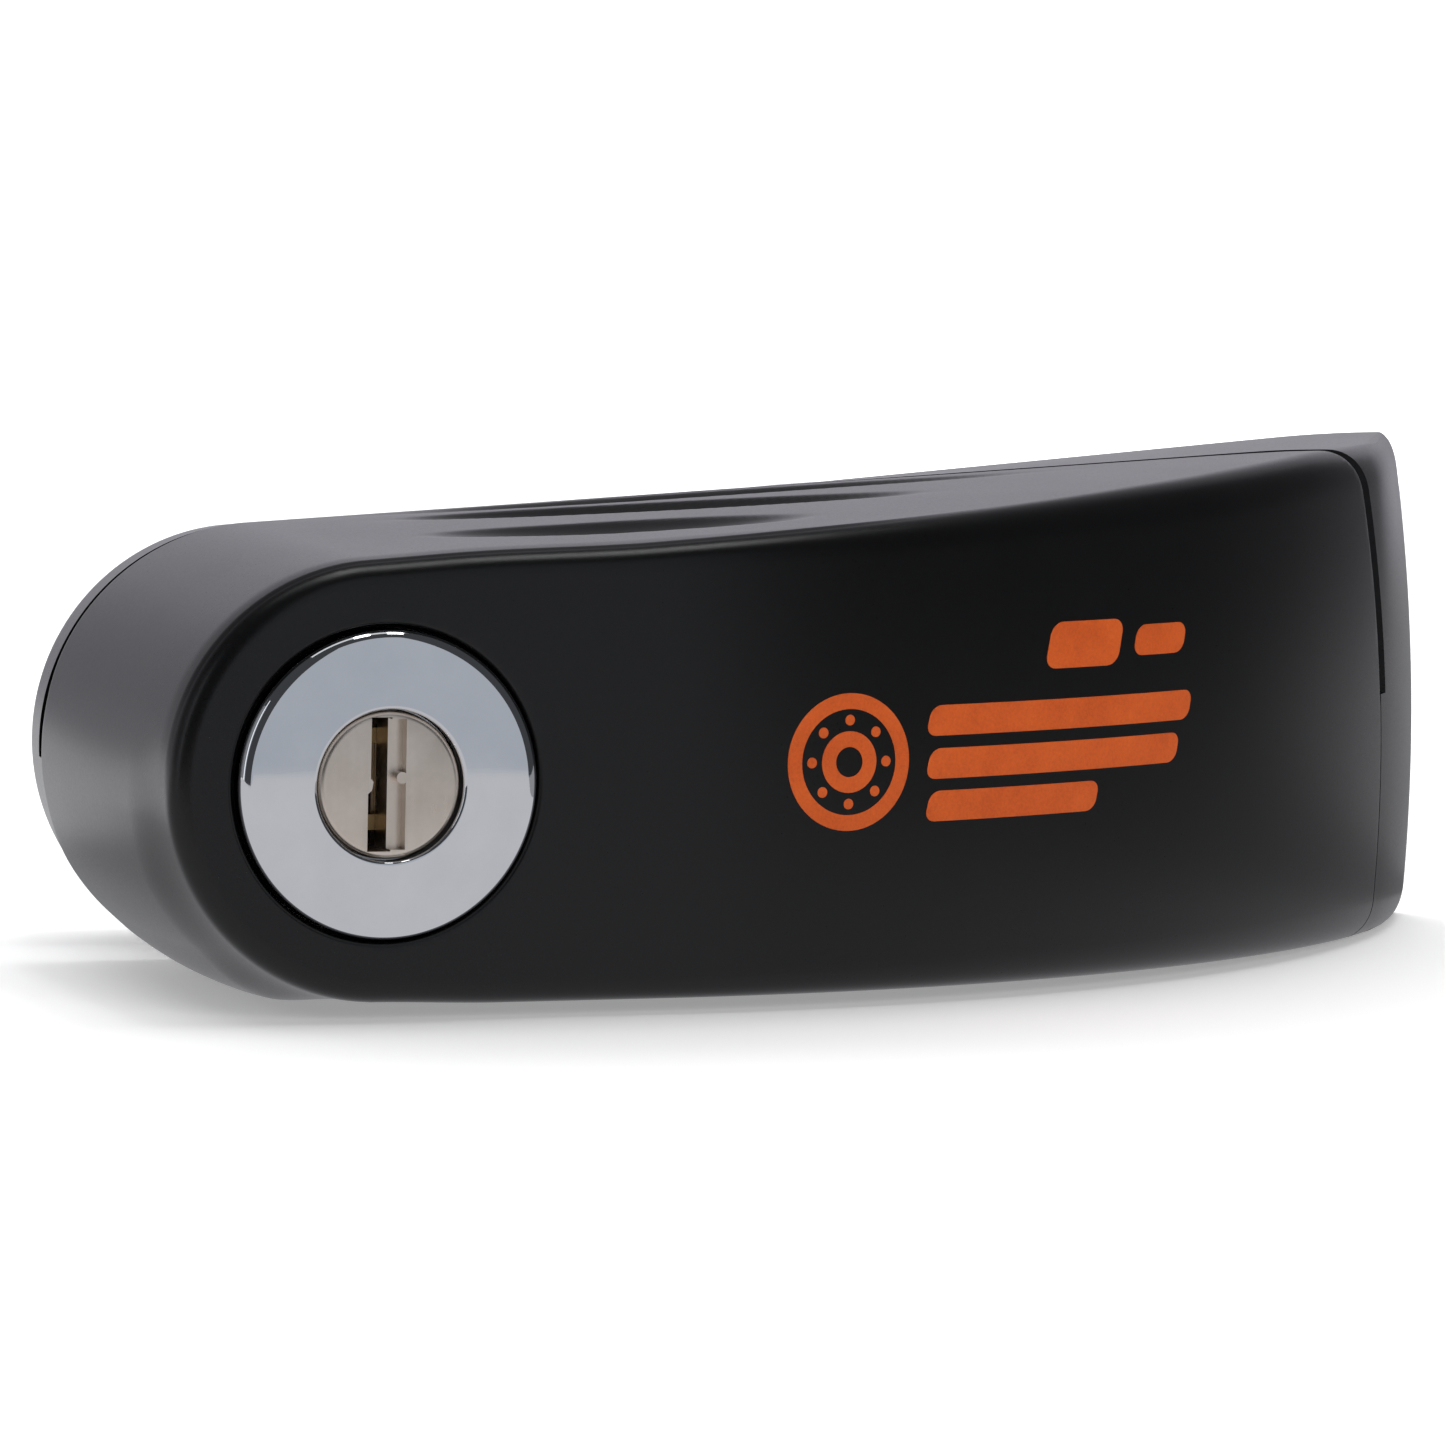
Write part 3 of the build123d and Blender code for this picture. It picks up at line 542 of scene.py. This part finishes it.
boolean(shell, join("hollows", [pocket] + [
    lathe("hole", [(0, 29.2 - d), (r, 29.2 - d), (r, 30), (0, 30)], 40, x, z)
    for (x, z), r, d in [(LONG_SCREWS[0], 2.5, 16), (LONG_SCREWS[1], 2.5, 16), (LONG_SCREWS[2], 2.5, 7.6),
                         (FLUSH_SCREWS[0], 2.0, 9.2), (FLUSH_SCREWS[1], 2.0, 9.2), (DOWELS[0], 1.5, 4.0)]
]))
tidy(shell)
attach(shell, "housing")
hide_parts("front_shell")

# ------------------------------------------------------------ slotted frame
rear = keep_side(copy_of(envelope, "slotted_frame"), SEAM, False)
boolean(rear, flat_prism("plan", plan, -20, 30), "INTERSECT")
near = ruled(
    "near", arc_pts(0, 0, 14.45, 94, 270, 72) + [(110, BASE_Z - 0.5), (110, top_seam(110) + 0.3)], SEAM,
    arc_pts(-0.1, 0.2, 14.0, 94, 270, 72) + [(110, BASE_Z), (110, top_seam(110))], PLATE_BACK, 1.0, 0.3,
)
far = ruled(
    "far", arc_pts(0, 0, 13.0, 95, 270, 72) + [(42, BASE_Z - 0.2), (52, BASE_Z - 0.2), (110, BASE_Z - 0.2), (110, top_seam(110)), (44, top_seam(44) - 0.3)], PLATE_BACK,
    arc_pts(0, 0, 9.7, 95, 270, 72) + [(42, -13.0), (52, BASE_Z - 0.2), (110, BASE_Z - 0.2), (110, top_seam(110) + 0.4), (44, 16.3)], BACK, 0.0, 1.0,
)
boolean(near, far, "UNION")
boolean(rear, near, "INTERSECT")
xe, sw = SLOT_END_X - SLOT_W / 2, SLOT_W / 2
mid = (PLATE_BACK + ARM_FRONT) / 2
slot_poly = [(-30, mid - sw), (xe, mid - sw)] + [(xe + sw * math.cos(a), mid + sw * math.sin(a)) for a in np.linspace(-math.pi / 2, math.pi / 2, 33)[1:-1]] + [(xe, mid + sw), (-30, mid + sw)]
boolean(rear, flat_prism("slot", slot_poly, -30, 30))
line_z = lambda x: -1.4 + 5.2 * (x + 30) / 140
left_a = 183.35
inner = arc_pts(0, 0, R_END_SEAM - 1.0, 94, left_a, 40)
rebate = [(-30, line_z(-30)), (-30, 40), (110, 40), (110, line_z(110)), (80.3, line_z(80.3)), (80.3, 8), (79.4, 12.8), (77.6, 16.6), (74.5, 18.3), (45, float(top_seam(45)) - 1.2)] + inner
boolean(rear, prism("rebate", rebate, SEAM - 1, SEAM + 0.95))
cut = [lathe("pin_way", [(0, 27), (5.06, 27), (5.06, 35), (0, 35)], 96), lathe("bush_seat", [(0, 40), (7.0, 40), (7.0, 48.6), (1.5, 48.6), (1.5, 52), (0, 52)], 96)]
cut += [lathe("bolt_way", [(0, 27), (2.5, 27), (2.5, 45.2), (4.5, 45.2), (4.5, 52), (0, 52)], 64, x, z) for x, z in LONG_SCREWS]
cut += [lathe("sink", [(0, 27), (2.0, 27), (2.0, 31.2), (4.0, 33.2), (4.0, 35), (0, 35)], 64, x, z) for x, z in FLUSH_SCREWS]
cut += [lathe("dowel_way", [(0, 27), (1.5, 27), (1.5, 31.8), (0, 31.8)], 40, x, z) for x, z in DOWELS]
boolean(rear, join("cuts", cut))
tidy(rear)
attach(rear, "housing")
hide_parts("rear_frame")
drop(envelope)

# ------------------------------------------------------------ key cylinder
def rounded(profile, radii, n=5):
    """Rounds corners of a closed (radius, depth) profile; radii maps index to size."""
    out = []
    m = len(profile)
    for i, p in enumerate(profile):
        r = radii.get(i, 0)
        if not r:
            out.append(tuple(p))
            continue
        a, b, c = (np.array(profile[(i + k) % m], float) for k in (-1, 0, 1))
        u, v = (a - b) / np.linalg.norm(a - b), (c - b) / np.linalg.norm(c - b)
        half = math.acos(max(-1, min(1, float(u @ v)))) / 2
        d = r / math.tan(half)
        cen = b + (u + v) / np.linalg.norm(u + v) * (r / math.sin(half))
        s, e = b + u * d - cen, b + v * d - cen
        th = math.acos(max(-1, min(1, float(s @ e) / r ** 2)))
        for k in range(n + 1):
            q = k / n
            out.append(tuple(cen + (math.sin((1 - q) * th) * s + math.sin(q * th) * e) / math.sin(th)))
    return out


cap = lathe("chrome_ring", rounded([
    (PLUG_R + 0.10, 0.6), (PLUG_R + 0.10, -0.9), (9.5, -0.9), (9.5, 3.0), (8.3, 3.0), (8.3, 0.6),
], {1: 0.22, 2: 0.75, 3: 0.2}, 10), n=224)
tidy(cap, 40)
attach(cap, "plunger")
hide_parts("cylinder_cap")


# plug face with its keyway
plug = lathe("keyed_plug", rounded([
    (0, -0.55), (PLUG_R - 0.02, -0.55), (PLUG_R, 14.7), (3.9, 14.7), (3.9, 15.5), (PLUG_R, 15.5), (PLUG_R, 16.0), (0, 16.0),
], {1: 0.42}, 7), n=160)
slot_left = [(-1.36, -4.05), (0.10, -4.05), (0.10, 4.15), (-1.20, 4.15), (-1.20, 0.42), (-1.02, 0.22), (-1.12, -0.30), (-1.36, -0.52)]
boolean(plug, prism("keyway", slot_left, -2.0, 13.6))
bump = [(0.80 + 0.36 * math.cos(a), 0.45 + 0.36 * math.sin(a)) for a in np.linspace(0, 2 * math.pi, 25)[:-1]]
ward = prism("ward", [(0.05, -3.95), (1.03, -3.95), (1.03, 4.05), (0.05, 4.05)], -2.0, 0.35)
boolean(ward, prism("bump", bump, -3.0, 1.0))
boolean(plug, ward)
boolean(plug, join("wafer_ways", [prism("way", [(-3, -4.5), (3, -4.5), (3, 4.5), (-3, 4.5)], d - 0.5, d + 0.5) for d in (3.2, 5.2, 7.2, 9.2, 11.2)]))
tail = prism("tail", [(-1.8, -1.8), (1.8, -1.8), (1.8, 1.8), (-1.8, 1.8)], 15.8, 16.5)
boolean(plug, tail, "UNION")
tidy(plug, 35)
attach(plug, "key_plug")
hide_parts("key_plug")

pin = lathe("lock_pin", rounded([(0, 20.9), (5.0, 20.9), (5.0, 45.8), (3.8, 47.0), (0, 47.0)], {1: 0.4, 2: 0.5, 3: 0.5}, 6), n=128)
tidy(pin, 40)
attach(pin, "plunger")
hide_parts("locking_pin")

# cap screws of the rear frame: chamfered heads with hexagon sockets
def hexagon(cx, cz, r):
    return [(cx + r * math.cos(math.radians(60 * k)), cz + r * math.sin(math.radians(60 * k))) for k in range(6)]


heads = []
for i, ((cx, cz), tip) in enumerate(zip(LONG_SCREWS, (14.0, 14.0, 22.0))):
    h = lathe("bolt", rounded([
        (0, tip), (2.0, tip), (2.5, tip + 0.5), (2.5, 45.2), (4.25, 45.2), (4.25, 50.2), (0, 50.2),
    ], {4: 0.2, 5: 0.45}, 5), 96, cx, cz)
    boolean(h, prism("socket", hexagon(cx, cz, 2.3), 47.6, 52))
    boolean(h, lathe("lead", [(0, 49.9), (2.15, 49.9), (2.6, 50.5), (0, 50.5)], 64, cx, cz))
    heads.append(h)
bolts = join("cap_bolts", heads)
tidy(bolts, 35)
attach(bolts, "housing")
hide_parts("long_screws")

# --------------------------------------------------------------- the print
def skin_point(x, z, lift):
    """A point on the curved front, lift mm above it."""
    f = float(front_at(x, z))
    e = 0.05
    n = np.array([(float(front_at(x + e, z)) - float(front_at(x - e, z))) / (2 * e), -1.0, (float(front_at(x, z + e)) - float(front_at(x, z - e))) / (2 * e)])
    n /= np.linalg.norm(n)
    return (x + n[0] * lift, f + n[1] * lift, z + n[2] * lift)


def print_patch(grid, closed_u=False):
    """Thin closed patch over a grid of (x, z) points, sunk a little into the surface."""
    nu, nv = len(grid), len(grid[0])
    verts, faces = [], []
    for lift in (0.035, -0.06):
        for row in grid:
            verts += [skin_point(x, z, lift) for x, z in row]
    idx = lambda s, i, j: s * nu * nv + (i % nu) * nv + j
    lim = nu if closed_u else nu - 1
    for s in (0, 1):
        for i in range(lim):
            for j in range(nv - 1):
                faces.append([idx(s, i, j), idx(s, i + 1, j), idx(s, i + 1, j + 1), idx(s, i, j + 1)])
    for i in range(lim):
        for j in (0, nv - 1):
            faces.append([idx(0, i, j), idx(0, i + 1, j), idx(1, i + 1, j), idx(1, i, j)])
    if not closed_u:
        for i in (0, nu - 1):
            for j in range(nv - 1):
                faces.append([idx(0, i, j), idx(0, i, j + 1), idx(1, i, j + 1), idx(1, i, j)])
    return from_points("patch", verts, faces)


def bar(cx, cz, length, height, rr=0.5, lean=0.0, tilt=0.0):
    grid = []
    half, hw = length / 2, height / 2
    ends = [-half + rr * (1 - math.cos(a)) for a in np.linspace(0.12, math.pi / 2, 7)]
    us = ends + list(np.linspace(-half + rr, half - rr, max(4, int(length / 0.5)))[1:-1]) + [-e for e in ends[::-1]]
    for u in us:
        q = abs(u) - (half - rr)
        h = hw if q <= 0 else hw - rr + math.sqrt(max(rr ** 2 - q ** 2, 0.0))
        grid.append([(cx + u + lean * v, cz + v + tilt * u) for v in np.linspace(-h, h, 9)])
    return print_patch(grid)


def band(cx, cz, r0, r1, n=72):
    return print_patch([[(cx + r * math.cos(a), cz + r * math.sin(a)) for r in np.linspace(r0, r1, 4)] for a in np.linspace(0, 2 * math.pi, n, endpoint=False)], True)


marks = [band(30.6, 1.0, 3.35, 4.35), band(30.6, 1.0, 0.95, 1.95, 48)]
marks += [band(30.6 + 2.65 * math.cos(a), 1.0 + 2.65 * math.sin(a), 0.02, 0.34, 20) for a in np.linspace(0, 2 * math.pi, 9)[:-1]]
marks += [
    bar(47.4, 3.60, 22.0, 1.95, 0.75, 0.22, 0.012), bar(46.8, 0.85, 20.8, 1.95, 0.75, 0.22, 0.012), bar(43.2, -1.90, 13.6, 1.95, 0.75, 0.22, 0.012),
    bar(48.9, 8.05, 6.2, 3.0, 0.9, 0.22, 0.012), bar(55.6, 8.15, 4.6, 2.0, 0.8, 0.22, 0.012),
]
decal = join("front_print", marks)
tidy(decal, 40, 0.0)
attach(decal, "housing")

# --------------------------------------------------------------- materials
class Mat:
    """Small helper round a Principled material."""

    def __init__(self, name, color, rough=0.5, metal=0.0, spec=0.5, coat=0.0, coat_rough=0.1):
        self.m = bpy.data.materials.new(name)
        self.m.use_nodes = True
        self.t = self.m.node_tree
        self.b = self.t.nodes["Principled BSDF"]
        self.b.inputs["Base Color"].default_value = (*color, 1)
        self.b.inputs["Roughness"].default_value = rough
        self.b.inputs["Metallic"].default_value = metal
        self.b.inputs["Specular IOR Level"].default_value = spec
        self.b.inputs["Coat Weight"].default_value = coat
        self.b.inputs["Coat Roughness"].default_value = coat_rough
        self.pos = self.t.nodes.new("ShaderNodeTexCoord").outputs["Object"]

    def node(self, kind, **values):
        n = self.t.nodes.new(kind)
        for k, v in values.items():
            if hasattr(n, k):
                setattr(n, k, v)
            else:
                n.inputs[k.replace("_", " ")].default_value = v
        return n

    def link(self, a, b):
        self.t.links.new(a, b)

    def stretch(self, scale=(1, 1, 1), rotation=(0, 0, 0)):
        n = self.node("ShaderNodeMapping")
        n.inputs["Scale"].default_value = scale
        n.inputs["Rotation"].default_value = rotation
        self.link(self.pos, n.inputs["Vector"])
        return n.outputs["Vector"]

    def noise(self, scale, detail=3.0, rough=0.55, vector=None):
        n = self.node("ShaderNodeTexNoise", Scale=scale, Detail=detail, Roughness=rough)
        self.link(vector if vector is not None else self.pos, n.inputs["Vector"])
        return n.outputs["Fac"]

    def ramp(self, fac, stops):
        n = self.node("ShaderNodeValToRGB")
        e = n.color_ramp.elements
        while len(e) < len(stops):
            e.new(0.5)
        for el, (p, c) in zip(e, stops):
            el.position = p
            el.color = (*c, 1) if len(c) == 3 else c
        self.link(fac, n.inputs["Fac"])
        return n.outputs["Color"]

    def range(self, fac, a, b, lo=0.0, hi=1.0):
        n = self.node("ShaderNodeMapRange")
        n.inputs["From Min"].default_value = lo
        n.inputs["From Max"].default_value = hi
        n.inputs["To Min"].default_value = a
        n.inputs["To Max"].default_value = b
        self.link(fac, n.inputs["Value"])
        return n.outputs["Result"]

    def math(self, op, a, b):
        n = self.node("ShaderNodeMath", operation=op)
        for i, v in enumerate((a, b)):
            if isinstance(v, (int, float)):
                n.inputs[i].default_value = v
            else:
                self.link(v, n.inputs[i])
        return n.outputs["Value"]

    def mix(self, fac, a, b):
        n = self.node("ShaderNodeMix", data_type="RGBA")
        for i, v in ((0, fac), (6, a), (7, b)):
            if isinstance(v, (int, float)):
                n.inputs[i].default_value = v
            elif isinstance(v, tuple):
                n.inputs[i].default_value = (*v, 1)
            else:
                self.link(v, n.inputs[i])
        return n.outputs[2]

    def color(self, out):
        self.link(out, self.b.inputs["Base Color"])

    def rough(self, out):
        self.link(out, self.b.inputs["Roughness"])

    def bump(self, height, strength, distance, below=None):
        n = self.node("ShaderNodeBump", Strength=strength, Distance=distance)
        self.link(height, n.inputs["Height"])
        if below is not None:
            self.link(below, n.inputs["Normal"])
        self.link(n.outputs["Normal"], self.b.inputs["Normal"])
        return n.outputs["Normal"]


def satin_black():
    m = Mat("satin_black", (0.0038, 0.0038, 0.0042), 0.30, spec=0.42)
    grain = m.noise(5200, 4, 0.62)
    fine = m.noise(15000, 2, 0.5)
    cloud = m.noise(60, 3, 0.5)
    brushed = m.noise(2600, 3, 0.55, m.stretch((0.10, 1.0, 1.0)))
    m.color(m.ramp(m.math("ADD", m.math("MULTIPLY", cloud, 0.6), m.math("MULTIPLY", grain, 0.4)), [
        (0.30, (0.0024, 0.0024, 0.0027)), (0.72, (0.0050, 0.0050, 0.0055)),
    ]))
    m.rough(m.math("ADD", m.range(grain, 0.23, 0.36), m.range(cloud, -0.02, 0.035)))
    low = m.bump(m.math("ADD", m.math("MULTIPLY", grain, 0.7), m.math("MULTIPLY", fine, 0.3)), 0.16, 0.000035)
    m.bump(brushed, 0.10, 0.00003, low)
    return m.m


def chrome():
    m = Mat("bright_chrome", (0.80, 0.815, 0.84), 0.035, 1.0)
    smear = m.noise(240, 4, 0.6)
    hair = m.noise(1500, 5, 0.7, m.stretch((0.06, 1.0, 1.0), (0, 0.5, 0)))
    m.color(m.ramp(smear, [(0.3, (0.775, 0.79, 0.815)), (0.7, (0.83, 0.84, 0.86))]))
    m.rough(m.range(m.math("ADD", m.math("MULTIPLY", smear, 0.6), m.math("MULTIPLY", hair, 0.4)), 0.018, 0.05, 0.3, 0.7))
    m.bump(hair, 0.04, 0.000006)
    return m.m


def nickel():
    m = Mat("satin_nickel", (0.74, 0.67, 0.60), 0.30, 1.0)
    lines = m.noise(2400, 4, 0.65, m.stretch((1.0, 1.0, 0.07)))
    cloud = m.noise(420, 3, 0.6)
    m.color(m.ramp(cloud, [(0.28, (0.74, 0.65, 0.56)), (0.72, (0.90, 0.81, 0.72))]))
    m.rough(m.range(m.math("ADD", m.math("MULTIPLY", cloud, 0.5), m.math("MULTIPLY", lines, 0.5)), 0.24, 0.42, 0.3, 0.7))
    m.bump(lines, 0.12, 0.00002)
    return m.m


def turned_steel(name, base, rough, scale=2600.0, tint=0.06):
    """Ground steel: fine turning lines round the Y axis, with handling marks."""
    m = Mat(name, base, rough, 1.0)
    lines = m.noise(scale, 4, 0.65, m.stretch((0.03, 1.0, 0.03)))
    cloud = m.noise(300, 4, 0.6)
    dark = tuple(c * (1 - tint * 2.2) for c in base)
    light = tuple(min(1, c * (1 + tint)) for c in base)
    m.color(m.ramp(m.math("ADD", m.math("MULTIPLY", cloud, 0.6), m.math("MULTIPLY", lines, 0.4)), [(0.32, dark), (0.68, light)]))
    m.rough(m.range(cloud, rough - 0.07, rough + 0.09, 0.3, 0.7))
    m.bump(lines, 0.14, 0.00002)
    return m.m


def wire(name, base, rough):
    m = Mat(name, base, rough, 1.0)
    cloud = m.noise(900, 4, 0.6)
    m.color(m.ramp(cloud, [(0.3, tuple(c * 0.82 for c in base)), (0.7, base)]))
    m.rough(m.range(cloud, rough - 0.08, rough + 0.08, 0.3, 0.7))
    m.bump(m.noise(4200, 3, 0.6), 0.10, 0.00002)
    return m.m


def moulded(name, dark, light, rough, scale=1800.0):
    m = Mat(name, dark, rough, 0.0, 0.4)
    cloud = m.noise(160, 3, 0.5)
    grain = m.noise(scale, 4, 0.6)
    m.color(m.ramp(m.math("ADD", m.math("MULTIPLY", cloud, 0.5), m.math("MULTIPLY", grain, 0.5)), [(0.3, dark), (0.7, light)]))
    m.rough(m.range(grain, rough - 0.08, rough + 0.08, 0.3, 0.7))
    m.bump(grain, 0.22, 0.00005)
    return m.m


def print_ink():
    m = Mat("orange_print", (0.52, 0.095, 0.018), 0.48, 0.0, 0.35)
    speck = m.noise(5200, 4, 0.65)
    cloud = m.noise(380, 3, 0.55)
    m.color(m.ramp(m.math("ADD", m.math("MULTIPLY", speck, 0.55), m.math("MULTIPLY", cloud, 0.45)), [
        (0.34, (0.56, 0.078, 0.006)), (0.52, (0.67, 0.104, 0.009)), (0.70, (0.75, 0.132, 0.014)),
    ]))
    m.rough(m.range(speck, 0.40, 0.58, 0.3, 0.7))
    m.bump(speck, 0.22, 0.00003)
    return m.m


BLACK, CHROME, NICKEL, INK = satin_black(), chrome(), nickel(), print_ink()
STEEL = turned_steel("ground_steel", (0.56, 0.565, 0.58), 0.27)
ZINC = turned_steel("zinc_plate", (0.62, 0.63, 0.65), 0.34, 3200.0, 0.08)
SPRING = wire("spring_wire", (0.50, 0.50, 0.51), 0.30)
# brass colour for the plug wafers, darkened well below bright brass so the wafers deep in the keyway look dark: painted
# shade of the keyway on top of the brass colour
BRASS_PAINTED_SHADE = wire("brass", (0.42, 0.30, 0.15), 0.38)
RUBBER = moulded("black_rubber", (0.010, 0.010, 0.010), (0.022, 0.022, 0.022), 0.66, 2600.0)
LINER = moulded("liner_plastic", (0.020, 0.021, 0.023), (0.038, 0.039, 0.042), 0.48)

LOOK = {
    "guide_sleeve": STEEL, "guide_screw": ZINC, "wiper_seal": RUBBER, "pin_bush": STEEL, "throat_liner": LINER,
    "flush_screws": ZINC, "dowel_pins": STEEL, "cylinder_barrel": ZINC, "drill_rods": STEEL, "pin_carrier": ZINC,
    "carrier_screws": ZINC, "barrel_oring": RUBBER, "cross_pin": STEEL, "return_spring": SPRING, "plug_wafers": BRASS_PAINTED_SHADE,
    "wafer_springs": SPRING, "plug_circlip": SPRING, "tail_cam": NICKEL, "latch_bolt": STEEL, "latch_spring": SPRING,
    "front_shell": BLACK, "rear_frame": BLACK, "cylinder_cap": CHROME, "long_screws": ZINC, "locking_pin": STEEL, "key_plug": NICKEL,
}


def paint(o, material):
    o.data.materials.clear()
    o.data.materials.append(material)


for node_name, o in NODES.items():
    paint(o, LOOK[node_name])
for o, material in ((shell, BLACK), (rear, BLACK), (cap, CHROME), (plug, NICKEL), (pin, STEEL), (bolts, ZINC), (decal, INK)):
    paint(o, material)

# ------------------------------------------------------------------- stage
floor_z = -0.01462


def stage_plane(name, corners, material):
    me = bpy.data.meshes.new(name)
    me.from_pydata(corners, [], [[0, 1, 2, 3]])
    o = new_object(name, me)
    me.materials.append(material)
    return o


pale = Mat("pale_floor", (0.86, 0.86, 0.865), 0.75, spec=0.15)
pale.color(pale.ramp(pale.noise(14, 2, 0.5), [(0.3, (0.85, 0.85, 0.855)), (0.7, (0.87, 0.87, 0.873))]))
pale.b.inputs["Emission Color"].default_value = (1, 1, 1, 1)
pale.b.inputs["Emission Strength"].default_value = 0.30
wall = Mat("backdrop", (0.9, 0.9, 0.9), 0.9, spec=0.0)
wall.b.inputs["Emission Color"].default_value = (1, 1, 1, 1)
wall.b.inputs["Emission Strength"].default_value = 0.95

def glow(name, value, tint=(1, 1, 1)):
    m = Mat(name, (0, 0, 0), 1.0, spec=0.0)
    m.b.inputs["Emission Color"].default_value = (*tint, 1)
    m.b.inputs["Emission Strength"].default_value = value
    return m.m


def sweep_of(name, material, y0, radius, z0):
    pts = [(y0 + radius * math.sin(a), z0 + radius * (1 - math.cos(a))) for a in np.linspace(0, math.pi / 2, 17)] + [(y0 + radius, 2.2)]
    me = bpy.data.meshes.new(name)
    me.from_pydata([(x, y, z) for y, z in pts for x in (-3, 3)], [], [[2 * i, 2 * i + 1, 2 * i + 3, 2 * i + 2] for i in range(len(pts) - 1)])
    me.shade_smooth()
    o = new_object(name, me)
    me.materials.append(material)
    return o


floor = stage_plane("floor", [(-3, -3, floor_z), (3, -3, floor_z), (3, 0.75, floor_z), (-3, 0.75, floor_z)], pale.m)
backdrop = sweep_of("backdrop", wall.m, 0.75, 0.4, floor_z)
floor.visible_glossy = backdrop.visible_glossy = False
# cards where the floor and backdrop are, only for reflections
cz = floor_z - 0.0004
cards = []
for i, (x0, x1, y0, y1, value) in enumerate([
    (-3, 0.10, -0.205, 0.03, 0.56), (0.10, 3, -0.205, 0.03, 0.29), (-3, 0.05, 0.03, 0.80, 1.20), (0.05, 3, 0.03, 0.80, 0.50),
]):
    cards.append(stage_plane(f"floor_card_{i}", [(x0, y0, cz), (x1, y0, cz), (x1, y1, cz), (x0, y1, cz)], glow(f"floor_glow_{i}", value, (0.99, 0.99, 1.03))))
levels = [(0.80, cz), (0.86, 0.30), (0.85, 0.47), (0.78, 0.72), (0.60, 1.00)]
for i, (x0, x1, values) in enumerate([
    (-3, -0.14, (0.52, 0.50, 0.28, 0.16)), (-0.14, 1.0, (0.84, 0.80, 0.32, 0.19)), (1.0, 3, (0.16, 0.13, 0.08, 0.06)),
]):
    for k, value in enumerate(values):
        (y0, z0), (y1, z1) = levels[k], levels[k + 1]
        cards.append(stage_plane(f"back_card_{i}_{k}", [(x0, y0, z0), (x1, y0, z0), (x1, y1, z1), (x0, y1, z1)], glow(f"back_glow_{i}_{k}", value, (0.985, 0.97, 1.06))))
cards.append(stage_plane("front_sky", [(-0.05, -1.3, -0.5), (0.62, -1.3, -0.5), (0.62, -1.3, 1.2), (-0.05, -1.3, 1.2)], glow("front_sky_glow", 0.43, (0.97, 1.03, 1.13))))
cards.append(stage_plane("left_sky", [(-1.1, -0.7, -0.3), (-1.1, 0.2, -0.3), (-1.1, 0.2, 0.8), (-1.1, -0.7, 0.8)], glow("left_sky_glow", 0.22, (0.97, 1.0, 1.06))))
cards.append(stage_plane("left_strip", [(-1.09, -0.52, -0.3), (-1.09, -0.33, -0.3), (-1.09, -0.33, 0.9), (-1.09, -0.52, 0.9)], glow("left_strip_glow", 1.1, (0.97, 1.0, 1.06))))
for o in cards:
    o.visible_camera = o.visible_shadow = o.visible_diffuse = False


def area(name, place, aim, size, power, color=(1, 1, 1), size_y=None):
    d = bpy.data.lights.new(name, "AREA")
    d.shape = "RECTANGLE"
    d.size, d.size_y = size, size_y or size
    d.energy = power
    d.color = color
    o = bpy.data.objects.new(name, d)
    bpy.context.scene.collection.objects.link(o)
    o.location = place
    o.rotation_euler = (Vector(aim) - Vector(place)).to_track_quat("-Z", "Y").to_euler()
    return o


over = area("overhead", (0.05, 0.35, 1.0), (0.03, 0, 0), 1.5, 8.0, (1.0, 1.0, 1.0), 1.0)
fill = area("front_fill", (0.30, -1.15, 0.55), (0.03, 0, 0), 0.7, 4.6, (1.0, 0.985, 0.96))
over.visible_glossy = fill.visible_glossy = False
area("top_strip", (0.0, 0.05, 1.0), (0.0, 0, 0), 0.8, 0.64, (0.97, 0.98, 1.0), 0.35)
for name, x in (("lamp_one", 0.30), ("lamp_two", 0.055)):
    area(name, (x, 0.0, 0.92), (x, 0, 0), 0.12, 0.7, (1, 1, 1), 0.45)

world = bpy.data.worlds.new("studio")
world.use_nodes = True
wt = world.node_tree
bg = wt.nodes["Background"]
bg.inputs["Color"].default_value = (0.88, 0.93, 1.0, 1)
bg.inputs["Strength"].default_value = 0.055
seen = wt.nodes.new("ShaderNodeBackground")
seen.inputs["Color"].default_value = (1, 1, 1, 1)
seen.inputs["Strength"].default_value = 1.0
path = wt.nodes.new("ShaderNodeLightPath")
choose = wt.nodes.new("ShaderNodeMixShader")
wt.links.new(path.outputs["Is Camera Ray"], choose.inputs["Fac"])
wt.links.new(bg.outputs["Background"], choose.inputs[1])
wt.links.new(seen.outputs["Background"], choose.inputs[2])
wt.links.new(choose.outputs["Shader"], wt.nodes["World Output"].inputs["Surface"])
bpy.context.scene.world = world
bpy.context.scene.view_settings.view_transform = "Standard"
bpy.context.scene.view_settings.look = "None"
